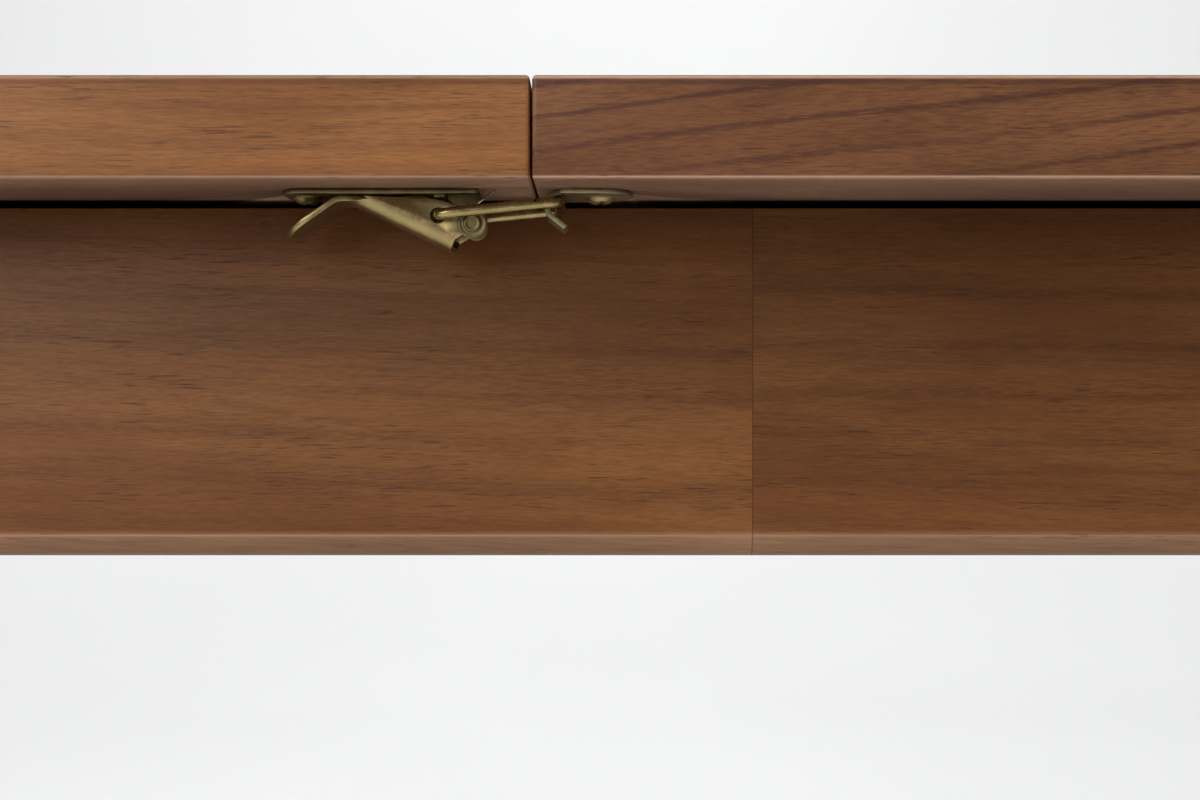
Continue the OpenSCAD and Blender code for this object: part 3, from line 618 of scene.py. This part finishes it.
def add_plate(bm, outline, holes, low, high, ease, put=flat_put):
    """A flat plate between two heights with its rims rounded; put turns (u, v, height) into a point.

    Each hole is given as (u, v, radius, sides).
    """
    rounding = [(ease * (1 - sin(a)), ease * (1 - cos(a))) for a in (0.0, radians(45), radians(90))]
    levels = [(low + h, d) for d, h in rounding] + [(high - h, d) for d, h in reversed(rounding)]
    caps = ([], [])
    for loop in [outline] + [circle_loop(*hole)[::-1] for hole in holes]:
        loop = [Vector(p) for p in loop]
        rings = [[bm.verts.new(put(p.x, p.y, height)) for p in inset(loop, distance)]
                 for height, distance in levels]
        bridge(bm, rings)
        for cap, ring in ((caps[0], rings[0]), (caps[1], rings[-1])):
            cap.extend(bm.edges.get((ring[i - 1], ring[i])) for i in range(len(ring)))
    for cap in caps:
        bmesh.ops.triangle_fill(bm, use_beauty=True, use_dissolve=False, edges=cap)


def add_pair(bm, outline, holes, inner, outer, ease):
    """Two upright plates that mirror each other across the latch's centre line."""
    for low, high in ((-outer, -inner), (inner, outer)):
        add_plate(bm, outline, holes, low, high, ease, upright_put)


def mirrored(half):
    """A whole profile from its half with y from zero up."""
    return [(-y, w, turn) for y, w, turn in reversed(half[1:])] + half


def add_sheet(bm, stations, profiles, thickness, ease=0.2):
    """Sweeps a folded sheet: each station is (x, z, heading) and each profile a list of (y, w, turn)."""
    small = ease * 0.3
    rim = [(small, small), (ease, 0.0), (thickness - ease, 0.0), (thickness - small, small)]
    rings = []
    for (x, z, heading), profile in zip(stations, profiles):
        up = Vector((-sin(heading), 0, cos(heading)))

        def spot(index, depth, back=0.0):
            y, w, turn = profile[index]
            side = 1.0 if index > len(profile) // 2 else -1.0
            normal = (-sin(turn) * side, cos(turn))
            along = (cos(turn) * side, sin(turn))
            y += normal[0] * depth - along[0] * back
            w += normal[1] * depth - along[1] * back
            return Vector((x, y, z)) + up * w

        last = len(profile) - 1
        ring = [spot(j, 0.0, ease if j in (0, last) else 0.0) for j in range(last + 1)]
        ring += [spot(last, *r) for r in rim]
        ring += [spot(j, thickness, ease if j in (0, last) else 0.0) for j in range(last, -1, -1)]
        ring += [spot(0, *r) for r in reversed(rim)]
        rings.append([bm.verts.new(p) for p in ring])
    bridge(bm, rings)
    bmesh.ops.triangulate(bm, faces=[bm.faces.new(rings[0]), bm.faces.new(rings[-1])])


def fold_profile(turn, width, flat_points=5, arc_points=9):
    """The lever's section: flat, then a bend up by turn on both sides, then flat to the edges."""
    flat = width - FOLD_R if width > FOLD_R else 0.0
    bend_r = min(FOLD_R, width)
    developed = bend_r * turn + bend_r * (1 - sin(turn)) / cos(turn)
    half = [(flat * i / flat_points, 0.0, 0.0) for i in range(flat_points)]
    for i in range(arc_points + 1):
        gone = developed * i / arc_points
        angle = min(gone / bend_r, turn)
        straight = gone - bend_r * angle
        half.append((flat + bend_r * sin(angle) + straight * cos(turn),
                     bend_r * (1 - cos(angle)) + straight * sin(turn), angle))
    return mirrored(half)


def flange_limit(x):
    """The height at which the lever's flanges end."""
    for (x0, z0), (x1, z1) in zip(FLANGE_TOP, FLANGE_TOP[1:]):
        if x <= x1:
            return z0 + (z1 - z0) * (x - x0) / (x1 - x0)
    return FLANGE_TOP[-1][1]


def handle_reach(step):
    """How far along the handle a step lies; the steps get closer towards the tip."""
    return HANDLE_LENGTH * sin(radians(90 * step / HANDLE_STEPS))


def lever_path():
    """Stations along the lever's sheet, from the handle's tip to the web's end.

    Each is (x, z, heading, length of the handle that is left).
    """
    slope, knee, tip = radians(WEB_SLOPE), radians(HANDLE_SLOPE), radians(TIP_SLOPE)
    x, z = WEB_END
    back = [(x, z, -slope)]

    def walk(step, heading, next_heading):
        nonlocal x, z
        x -= step * cos(heading)
        z -= step * sin(heading)
        back.append((x, z, next_heading))

    for _ in range(WEB_STEPS):
        walk(WEB_LENGTH / WEB_STEPS, -slope, -slope)
    bend = knee + slope
    for i in range(KNEE_STEPS):
        heading = -slope + bend * (i + 0.5) / KNEE_STEPS
        walk(KNEE_R * bend / KNEE_STEPS, heading, heading + bend / (2 * KNEE_STEPS))
    knee_index = len(back) - 1
    for i in range(HANDLE_STEPS):
        reach = handle_reach(i + 1)
        heading = knee + (tip - knee) * reach / HANDLE_LENGTH
        walk(reach - handle_reach(i), heading, heading)
    stations = [(x + SHEET_T * sin(heading), z - SHEET_T * cos(heading), heading,
                 HANDLE_LENGTH - handle_reach(max(0, i - knee_index)))
                for i, (x, z, heading) in enumerate(back)]
    return stations[::-1]


def halve(low, high, is_below):
    """Narrows a range down to the value up to which is_below holds."""
    for _ in range(30):
        middle = (low + high) / 2
        if is_below(middle):
            low = middle
        else:
            high = middle
    return middle


def flange_height(turn):
    """How high a fold with this turn carries the flange's edge."""
    return (FOLD_R * (1 - cos(turn)) + SHEET_T * cos(turn)
            + FOLD_R * (1 - sin(turn)) * tan(turn))


def build_lever(bm):
    stations, profiles = [], []
    for x, z, heading, left in lever_path():
        width = LEVER_HALF
        if left < LEVER_HALF:
            width = max(0.7, sqrt(max(0.0, LEVER_HALF ** 2 - (LEVER_HALF - left) ** 2)))
        turn = 0.0
        if x > FLANGE_START:
            rise = halve(0.0, 16.0, lambda w: z + w * cos(heading)
                         < flange_limit(x - w * sin(heading)))
            turn = halve(0.0, radians(89.9), lambda a: flange_height(a) < rise)
        stations.append((x, z, heading))
        profiles.append(fold_profile(turn, width))
    add_sheet(bm, stations, profiles, SHEET_T)
    # The flat cheeks above the bends, with the bail's and the rivet's holes, up to the flange's edge
    slope = radians(WEB_SLOPE)
    down_web = Vector((cos(slope), -sin(slope)))
    base = Vector((sin(slope), cos(slope))) * (FOLD_R - 0.5 - SHEET_T)
    end = Vector(WEB_END) + base - down_web * 0.02
    start = end - down_web * 21.6
    outline = [start, end] + arc(*PIVOT, 2.6, -125, 50, 12) + FLANGE_TOP[6:1:-1] + [(-37.2, -1.47)]
    holes = [(BAIL_HOLE[0] - 0.25, BAIL_HOLE[1] - 0.05, 1.72, 32), (*PIVOT, 1.55, 24)]
    add_pair(bm, outline, holes, LEVER_HALF - SHEET_T + 0.01, LEVER_HALF - 0.01, 0.12)


def build_bail(bm):
    """A wire from cheek to cheek, with a small bend after each pin and a wider one before the bar."""
    rise = atan2(BAIL_BAR[1] - BAIL_HOLE[1], BAIL_BAR[0] - BAIL_HOLE[0])
    length = hypot(BAIL_BAR[0] - BAIL_HOLE[0], BAIL_BAR[1] - BAIL_HOLE[1])
    pin, bar, start = 2.2, 3.0, LEVER_HALF - SHEET_T + 0.05
    half = [(0.0, start), (0.0, (start + WIRE_Y - pin) / 2)]
    half += arc(pin, WIRE_Y - pin, pin, 180, 90, 8)
    half += [(pin + (length - pin - bar) * i / 8, WIRE_Y) for i in range(1, 8)]
    half += arc(length - bar, WIRE_Y - bar, bar, 90, 0, 10)
    path = half + [(length, 0.0)] + [(u, -y) for u, y in reversed(half)]
    add_tube(bm, [(BAIL_HOLE[0] + u * cos(rise), y, BAIL_HOLE[1] + u * sin(rise))
                  for u, y in path], WIRE_R)


def build_rivet(bm):
    """A turned head outside one cheek and a smaller, plainer one outside the other."""
    out = LEVER_HALF + 0.05
    head = [(0.0, 0.86), (0.9, 0.88), (1.3, 0.86), (1.42, 0.93), (1.62, 0.93), (1.84, 0.80), (1.95, 0.60),
            (2.0, 0.40), (2.12, 0.34), (2.55, 0.36), (2.7, 0.42), (3.0, 0.42), (3.2, 0.32), (3.3, 0.16),
            (3.22, 0.0), (1.5, 0.0)]
    head = [(r, out + h) for r, h in head]
    profile = head + [(min(r, 2.3) if r < 3.2 else 2.2, -h) for r, h in reversed(head[:-1])] + [(1.5, -out)]
    turn = Matrix.Translation((PIVOT[0], 0, PIVOT[1])) @ Matrix.Rotation(radians(90), 4, "X")
    add_lathe(bm, profile, 48, turn)


def build_base_plate(bm):
    left, right, big, small = -55.0, -12.0, 5.0, 1.2
    outline = arc(left + big, big - PLATE_HALF, big, 180, 270, 8)
    outline += arc(right - small, small - PLATE_HALF, small, 270, 360, 4)
    outline += arc(right - small, PLATE_HALF - small, small, 0, 90, 4)
    outline += arc(left + big, PLATE_HALF - big, big, 90, 180, 8)
    holes = [(x, 0.0, SCREW_HOLE_R, 24) for x in PLATE_SCREWS]
    add_plate(bm, outline, holes, -PLATE_T, -BOARD_GAP, PLATE_EASE)
    # Two ears that carry the rivet
    px = PIVOT[0]
    ear = [(px - 5.4, -0.6), (px - 5.4, -2.2), (px - 4.3, -3.1), (px - 2.5, -5.4)]
    ear += arc(*PIVOT, 2.5, 180, 360, 14) + [(px + 2.5, -5.0), (-12.1, -3.1), (-12.05, -0.6)]
    add_pair(bm, ear, [(*PIVOT, 1.53, 24)], EAR_OUT - PLATE_T, EAR_OUT, 0.18)
    # A pressed stop beside each flange
    add_pair(bm, [(-21.5, -1.0), (-21.5, -1.95), (-19.2, -1.95), (-19.2, -1.0)], [], 7.6, 8.6, 0.15)


def spur_put(x, z, depth):
    """The spur's face leans back and to the left."""
    return upright_put(x, z, depth + 0.27 * z - 0.3 * (x + 10.0))


def build_spur(bm):
    """The short bright spur that steadies the plate's end in the board."""
    spur = [(-12.5, -2.85), (-12.1, -3.15), (-8.0, -BOARD_GAP), (-8.6, -BOARD_GAP)]
    add_plate(bm, spur, [], -5.6, -5.25, 0.08, spur_put)


def build_strike(bm):
    outline = arc(STRIKE_SCREW_X - 1.7, 0.0, PLATE_HALF, -90, 90, 30)
    outline += [(HOOK_MID[0], PLATE_HALF), (HOOK_MID[0], -PLATE_HALF)]
    add_plate(bm, outline, [(STRIKE_SCREW_X, 0.0, SCREW_HOLE_R, 24)], -PLATE_T, -BOARD_GAP, PLATE_EASE)
    # The hook: a strip that leaves the plate, curls under itself and ends in a sloping tongue
    stations = [(HOOK_MID[0] + 2.0, -BOARD_GAP, pi)]
    for i, (x, z) in enumerate(arc(*HOOK_MID, HOOK_R, 90, HOOK_END, HOOK_STEPS)):
        stations.append((x, z, radians(90 + (HOOK_END - 90) * i / HOOK_STEPS + 90)))
    x, z, heading = stations[-1]
    for i in range(1, 6):
        along = TONGUE_LENGTH * i / 5
        stations.append((x + along * cos(heading), z + along * sin(heading), heading))
    profile = mirrored([(float(i), 0.0, 0.0) for i in range(7)])
    add_sheet(bm, stations, [profile] * len(stations), PLATE_T)


SEAM_GAP = (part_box("top_right")[0].x - TOP_HIGH.x) / 2
LEAF_LOW, LEAF_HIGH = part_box("leaf_panel")
LATCH_INSET = 0.0233
MAIN_PLACE = Matrix.Translation((0, 0, UNDER_Z))
LEAF_TURN = Matrix.Translation((0, 0, LEAF_LOW.z)) @ Matrix.Rotation(radians(90), 4, "Z")
LEAF_PLACE = LEAF_TURN @ Matrix.Translation((LEAF_HIGH.y + SEAM_GAP, 0, 0))
LEAF_STRIKE_PLACE = LEAF_TURN @ Matrix.Translation((-LEAF_HIGH.y - SEAM_GAP, 0, 0))


def at_side(place, side):
    """The latch frame of one side, in metres, for points given in millimetres."""
    y = FRONT_Y + LATCH_INSET
    return place @ Matrix.Translation((0, y if side == "front" else -y, 0)) @ Matrix.Scale(MM, 4)


def make_latch_piece(kind, build, prefix, side, place, body, material):
    bm = drawn(build)
    layer = bm.verts.layers.float_vector.new("latch_place")
    for vert in bm.verts:
        vert[layer] = vert.co * MM
    bmesh.ops.transform(bm, matrix=at_side(place, side), verts=bm.verts)
    node = f"{prefix}{'latch_plate' if kind == 'latch_spur' else kind}_{side}"
    dress(mesh_from(f"fine_{prefix}{kind}_{side}", bm, 38.0), body, node, material)


# The latch's metals: base, worn and dirt colors, roughness, wear, bump, and the rubbed band's color
LATCH_METALS = {name: metal(name, *values, attribute="latch_place") for name, values in {
    "plated_latch": ((0.33, 0.26, 0.105, 1), (0.46, 0.36, 0.17, 1), (0.12, 0.08, 0.03, 1), 0.23, 0.6, 0.3),
    "plated_strike": ((0.30, 0.255, 0.13, 1), (0.42, 0.36, 0.20, 1), (0.12, 0.09, 0.04, 1), 0.46, 0.6, 0.3),
    # The base plate and rivet: the latch's plating made darker, painted shade for the shadow they sit in
    # under the top
    "shaded_plated_base": ((0.155, 0.120, 0.052, 1), (0.26, 0.20, 0.095, 1), (0.08, 0.055, 0.02, 1),
                    0.42, 0.5, 0.3),
    "bright_spur": ((0.62, 0.54, 0.34, 1), (0.72, 0.64, 0.42, 1), (0.30, 0.24, 0.12, 1), 0.26, 0.4, 0.2),
    "plated_lever": ((0.33, 0.255, 0.11, 1), (0.45, 0.345, 0.165, 1), (0.12, 0.08, 0.03, 1),
                     0.33, 0.5, 0.3, (0.58, 0.37, 0.19, 1)),
}.items()}
# The pieces of a latch, each with its mesh, its metal and the part that carries it
LATCH_PIECES = (
    ("latch_plate", build_base_plate, "shaded_plated_base", "plate"),
    ("latch_spur", build_spur, "bright_spur", "plate"),
    ("latch_rivet", build_rivet, "shaded_plated_base", "plate"),
    ("latch_lever", build_lever, "plated_lever", "lever"),
    ("latch_bail", build_bail, "plated_latch", "bail"),
    ("strike_plate", build_strike, "plated_strike", "strike"))
for side in SIDES:
    for prefix, half, strike_half, place, strike_place in (
            ("", "left_half", "right_half", MAIN_PLACE, MAIN_PLACE),
            ("leaf_", "leaf", "leaf", LEAF_PLACE, LEAF_STRIKE_PLACE)):
        bodies = {"plate": half, "strike": strike_half, "lever": f"{prefix}lever_{side}",
                  "bail": f"{prefix}bail_{side}"}
        for kind, build, finish, carrier in LATCH_PIECES:
            make_latch_piece(kind, build, prefix, side, strike_place if carrier == "strike" else place,
                             bodies[carrier], LATCH_METALS[finish])

# Fasteners: a tree of geometry nodes makes one part at every point it is given
LATCH_SCREW = {"Head Radius": 0.0035, "Head Height": 0.0005, "Dome": 0.0010, "Shank Radius": 0.00175,
               "Shank Length": 0.0152, "Slot Length": 0.0050, "Slot Width": 0.0009, "Slot Depth": 0.0010}
WOOD_SCREW = {"Head Radius": 0.0039, "Head Height": 0.0019, "Dome": 0.0003, "Shank Radius": 0.002,
              "Shank Length": 0.028, "Slot Length": 0.0046, "Slot Width": 0.0009, "Slot Depth": 0.0013}
RUNNER_SCREW = dict(WOOD_SCREW, **{"Shank Length": 0.032})
BLOCK_SCREW = dict(WOOD_SCREW, **{"Shank Length": 0.021})


def put_on_places(s, g, result, part):
    """The end of each tree: a copy of the part at every place, turned to its aim and by its spin."""
    aim = s.out("GeometryNodeInputNamedAttribute", {"data_type": "FLOAT_VECTOR"}, Name="aim")
    spin = s.out("GeometryNodeInputNamedAttribute", {"data_type": "FLOAT"}, Name="spin")
    turned = s.out("FunctionNodeAlignRotationToVector", {"axis": "Z"}, Vector=aim)
    own = s.out("FunctionNodeAxisAngleToRotation", Axis=(0.0, 0.0, 1.0), Angle=spin)
    rotation = s.out("FunctionNodeRotateRotation", {"rotation_space": "LOCAL"}, Rotation=turned,
                     Rotate_By=own)
    copies = s.out("GeometryNodeInstanceOnPoints", Points=g["Places"], Instance=part, Rotation=rotation)
    whole = s.out("GeometryNodeRealizeInstances", Geometry=copies)
    s.put(result, "Parts", s.out("GeometryNodeSetMaterial", Geometry=whole, Material=g["Finish"]))
    return s.tree


def make_screw_tree():
    """A domed screw with a cross recess; its head ends at zero and its shank points along Z."""
    s, g, result = new_group(
        "cross_recess_screw",
        [("Places", "Geometry")] + [(size, "Float") for size in LATCH_SCREW] + [("Finish", "Material")],
        [("Parts", "Geometry")], "GeometryNodeTree")

    def moved(part, z):
        return s.out("GeometryNodeTransform", Geometry=part, Translation=s.join(0.0, 0.0, z))

    radius, thick = g["Head Radius"], g["Head Height"]
    head = s.out("GeometryNodeMeshCylinder", {"fill_type": "TRIANGLE_FAN"}, Vertices=32, Side_Segments=3,
                 Fill_Segments=8, Radius=radius, Depth=thick)
    head = moved(head, s.times(thick, -0.5))
    x, y, z = s.parts(s.out("GeometryNodeInputPosition"))
    reach = s.math("DIVIDE", s.plus(s.times(x, x), s.times(y, y)), s.times(radius, radius))
    bulge = s.times(s.minus(1.0, s.math("POWER", reach, 1.7)), g["Dome"])
    outer = s.math("LESS_THAN", z, s.times(thick, -0.9))
    drop = s.times(s.times(bulge, outer), -1.0)
    rim = s.band(s.math("DIVIDE", z, thick), -0.3, -1.0, 0.0, -0.12)
    head = s.out("GeometryNodeSetPosition", Geometry=head,
                 Offset=s.join(s.times(x, rim), s.times(y, rim), drop))
    depth = s.times(g["Slot Depth"], 2.0)
    low = s.times(s.plus(thick, g["Dome"]), -1.0)
    hollow = s.add("GeometryNodeMeshBoolean", {"operation": "DIFFERENCE"})
    s.put(hollow, 0, head)
    for a, b in (("Slot Length", "Slot Width"), ("Slot Width", "Slot Length")):
        s.put(hollow, 1, moved(s.out("GeometryNodeMeshCube", Size=s.join(g[a], g[b], depth)), low))
    shank = s.out("GeometryNodeMeshCylinder", Vertices=20, Radius=g["Shank Radius"], Depth=g["Shank Length"])
    joined = s.add("GeometryNodeJoinGeometry")
    s.put(joined, 0, hollow.outputs[0])
    s.put(joined, 0, moved(shank, s.minus(s.times(g["Shank Length"], 0.5), 0.0001)))
    return put_on_places(s, g, result, joined.outputs[0])


def make_pattern_tree():
    """Copies a pattern that is drawn in millimetres along Z, brought to its real size."""
    s, g, result = new_group(
        "pattern_on_places",
        [("Places", "Geometry"), ("Pattern", "Object"), ("Size", "Float", MM), ("Finish", "Material")],
        [("Parts", "Geometry")], "GeometryNodeTree")
    pattern = s.add("GeometryNodeObjectInfo", {"transform_space": "ORIGINAL"}, Object=g["Pattern"])
    part = s.out("GeometryNodeTransform", Geometry=pattern.outputs["Geometry"],
                 Scale=s.join(g["Size"], g["Size"], g["Size"]))
    return put_on_places(s, g, result, part)


SCREW_TREE = make_screw_tree()
PATTERN_TREE = make_pattern_tree()
SCREW_METAL = metal("plated_screw", (0.46, 0.37, 0.18, 1), (0.62, 0.52, 0.30, 1), (0.12, 0.09, 0.04, 1),
                    0.34, 0.6)
STEEL = metal("zinc_steel", (0.56, 0.56, 0.55, 1), (0.70, 0.70, 0.68, 1), (0.24, 0.23, 0.21, 1), 0.30, 0.5)
FIRST_SPIN, NEXT_SPIN = 0.2, 1.9


def make_parts(tree, inputs, node, body, material, places, sharp=32.0):
    """One mesh of the tree's part at all its places, which are (point, direction) pairs in metres."""
    mesh = bpy.data.meshes.new("places_" + node)
    mesh.from_pydata([p for p, _ in places], [], [])
    mesh.attributes.new("aim", "FLOAT_VECTOR", "POINT")
    mesh.attributes.new("spin", "FLOAT", "POINT")
    for i, (_, direction) in enumerate(places):
        mesh.attributes["aim"].data[i].vector = direction
        mesh.attributes["spin"].data[i].value = FIRST_SPIN + NEXT_SPIN * i
    holder = new_object("places_" + node, mesh)
    modifier = holder.modifiers.new("parts", "NODES")
    modifier.node_group = tree
    given = dict(inputs, Finish=material)
    for item in tree.interface.items_tree:
        if item.in_out == "INPUT" and item.name in given:
            modifier[item.identifier] = given[item.name]
    graph = bpy.context.evaluated_depsgraph_get()
    made = bpy.data.meshes.new_from_object(holder.evaluated_get(graph))
    holder.modifiers.remove(modifier)
    bpy.data.objects.remove(holder)
    shade_mesh(made, sharp)
    dress(new_object("turned_" + node, made), body, node, material)


def make_copies(build, node, body, material, places):
    """Copies of one part that build draws in millimetres along Z."""
    pattern = mesh_from("pattern_" + node, drawn(build))
    make_parts(PATTERN_TREE, {"Pattern": pattern}, node, body, material, places, 30.0)
    bpy.data.objects.remove(pattern)


# Screws of the latches and strikes, then those of the frame; the spots are those of the CAD nodes
PLATE_SPOTS = [(x, 0.0, -PLATE_T) for x in PLATE_SCREWS]
STRIKE_SPOTS = [(STRIKE_SCREW_X, 0.0, -PLATE_T)]
UPWARD = (0.0, 0.0, 1.0)
for node, body, place, spots in (
        ("latch_screws", "left_half", MAIN_PLACE, PLATE_SPOTS),
        ("strike_screws", "right_half", MAIN_PLACE, STRIKE_SPOTS),
        ("leaf_latch_screws", "leaf", LEAF_PLACE, PLATE_SPOTS),
        ("leaf_strike_screws", "leaf", LEAF_STRIKE_PLACE, STRIKE_SPOTS)):
    make_parts(SCREW_TREE, LATCH_SCREW, node, body, SCREW_METAL,
               [(at_side(place, side) @ Vector(spot), UPWARD) for side in SIDES for spot in spots])


def in_quarters(spot, heights, aim):
    """A place in each quarter of the frame, at each height; aim points outward along X and Y."""
    return [((sx * spot[0], sy * spot[1], z), Vector((sx * aim[0], sy * aim[1], aim[2])).normalized())
            for sx in (-1, 1) for sy in (-1, 1) for z in heights]


RUNNER_SCREW_X, RUNNER_SCREW_Y, RUNNER_SCREW_Z = (0.0449, 0.1099, 0.1749), 0.3122, 0.709
RAIL_SCREW_PITCH, RAIL_SCREW_Y, RAIL_SCREW_Z = 0.19, 0.3255, 0.700
BLOCK_SCREW_Z = [0.670]
LONG_BLOCK_SPOT, END_BLOCK_SPOT = (0.4595, 0.3325), (0.5325, 0.2595)
for half, sx in zip(HALVES, (-1, 1)):
    make_parts(SCREW_TREE, RUNNER_SCREW, "runner_screws_" + half, half + "_half", STEEL,
               [((sx * x, sy * RUNNER_SCREW_Y, RUNNER_SCREW_Z), UPWARD)
                for sy in (-1, 1) for x in RUNNER_SCREW_X])
make_parts(SCREW_TREE, WOOD_SCREW, "rail_screws", "frame", STEEL,
           [((RAIL_SCREW_PITCH * i, sy * RAIL_SCREW_Y, RAIL_SCREW_Z), (0, sy, 0))
            for sy in (-1, 1) for i in range(-2, 3)])
make_parts(SCREW_TREE, BLOCK_SCREW, "block_screws", "frame", STEEL,
           in_quarters(LONG_BLOCK_SPOT, BLOCK_SCREW_Z, (0, 1, 0))
           + in_quarters(END_BLOCK_SPOT, BLOCK_SCREW_Z, (1, 0, 0)))

# Hanger bolts with their washers and nuts, drawn with the outer face of their block at zero height
BOLT_PLACES = in_quarters((0.5085, 0.3085), (0.661, 0.679), (1, 1, 0))
BLOCK_T = 24.0
WASHER_T = 1.6
NUT_T = 6.5
THREAD_TURNS = 26
THREAD_PITCH = 1.25
CREST_R, ROOT_R = 3.95, 3.55


def build_bolt(bm):
    profile = [(0.0, -35.1), (2.9, -35.1), (3.5, -34.5)]
    for i in range(THREAD_TURNS):
        profile += [(CREST_R, -34.3 + i * THREAD_PITCH), (ROOT_R, -33.7 + i * THREAD_PITCH)]
    add_lathe(bm, profile + [(3.6, 37.0), (0.0, 38.0)], 24)


def build_washer(bm):
    add_plate(bm, circle_loop(0, 0, 8.0, 40), [(0, 0, 4.3, 32)], -BLOCK_T - WASHER_T, -BLOCK_T, 0.25)


def build_nut(bm):
    add_plate(bm, circle_loop(0, 0, 7.5, 6), [(0, 0, 4.05, 32)], -BLOCK_T - WASHER_T - NUT_T,
              -BLOCK_T - WASHER_T, 0.7)


for node, build in (("hanger_bolts", build_bolt), ("bolt_washers", build_washer), ("bolt_nuts", build_nut)):
    make_copies(build, node, "frame", STEEL, BOLT_PLACES)

# Foot glides, slide pads and dowels
NYLON = plastic("pale_nylon", (0.72, 0.70, 0.64, 1))
GLIDE_PLACES = in_quarters((0.5445, 0.3445), (0.0,), UPWARD)
DOWEL_PITCH = 250.0
DOWEL_R = 4.0
FLUTES = 14
FLUTE_DEPTH = 0.22
TOP_T = (TOP_HIGH.z - TOP_LOW.z) / MM


def build_glide(bm):
    """A plastic foot with its nail."""
    add_lathe(bm, [(0, 0), (9.5, 0), (11.5, 0.5), (12.6, 1.6), (13, 3.0), (13, 5.2), (12.6, 5.9), (3, 6),
                   (3, 26), (0, 26)], 48)


def build_dowel(bm):
    """A fluted dowel with rounded ends."""
    outline = []
    for a in around(6 * FLUTES):
        radius = DOWEL_R - FLUTE_DEPTH * (0.5 + 0.5 * cos(FLUTES * a))
        outline.append((radius * cos(a), radius * sin(a)))
    add_plate(bm, outline, [], -12.0, 22.0, 1.1)


make_copies(build_glide, "foot_glides", "frame", NYLON, GLIDE_PLACES)
dress_softened("slide_pads", 0.5, "frame", NYLON)
for node, body, place, material in (
        ("alignment_dowels", "right_half", MAIN_PLACE, INNER_X),
        ("leaf_dowels", "leaf", LEAF_STRIKE_PLACE, INNER_Y)):
    make_copies(build_dowel, node, body, material,
                [(place @ (Vector((0, i * DOWEL_PITCH, TOP_T / 2)) * MM), place.to_3x3() @ Vector((1, 0, 0)))
                 for i in (-1, 0, 1)])


# Stage: a pale floor that turns up into a backdrop behind the table
def make_stage():
    material, s, bsdf = start_material("pale_stage")
    cloud = s.noise(object_place(s), 0.6)
    s.put(bsdf, "Base Color", s.mix(s.band(cloud, 0.3, 0.7), (0.80, 0.80, 0.80, 1), (0.83, 0.83, 0.83, 1)))
    s.put(bsdf, "Roughness", 0.9)
    wide, near, far, high, bend = 14.0, -9.0, 5.0, 8.0, 2.0
    line = [(near, 0.0)] + arc(far - bend, bend, bend, -90, 0, 16) + [(far, high)]
    bm = bmesh.new()
    rows = [[bm.verts.new((x, y, z)) for y, z in line] for x in (-wide, wide)]
    for i in range(len(line) - 1):
        bm.faces.new((rows[0][i], rows[1][i], rows[1][i + 1], rows[0][i + 1]))
    stage = mesh_from("studio_stage", bm, 60.0)
    stage.data.materials.append(material)


def add_soft_light(name, place, target, size, power, spread=180.0):
    """A rectangular studio light that faces its target and stays out of the camera's sight."""
    data = bpy.data.lights.new(name, "AREA")
    data.shape = "RECTANGLE"
    data.size, data.size_y = size
    data.energy = power
    data.spread = radians(spread)
    lamp = new_object(name, data)
    lamp.location = place
    lamp.rotation_euler = (Vector(target) - Vector(place)).to_track_quat("-Z", "Y").to_euler()
    lamp.visible_camera = False


make_stage()
SKY_COLOR = (0.94, 0.96, 1.0, 1)
SKY_STRENGTH = 0.22
world = bpy.data.worlds.new("studio")
world.use_nodes = True
sky = world.node_tree.nodes["Background"]
sky.inputs["Color"].default_value = SKY_COLOR
sky.inputs["Strength"].default_value = SKY_STRENGTH
SCENE.world = world
SCENE.view_settings.view_transform = "Standard"
add_soft_light("front_left", (-1.5, -2.0, 1.9), (0, -0.38, 0.7), (2.6, 2.2), 57, 150.0)
add_soft_light("overhead", (0.0, 0.3, 3.6), (0, 0.3, 0), (5.0, 5.0), 70)
add_soft_light("backdrop_wash", (0.0, 1.6, 3.8), (0, 4.6, 2.3), (7.0, 1.5), 138)
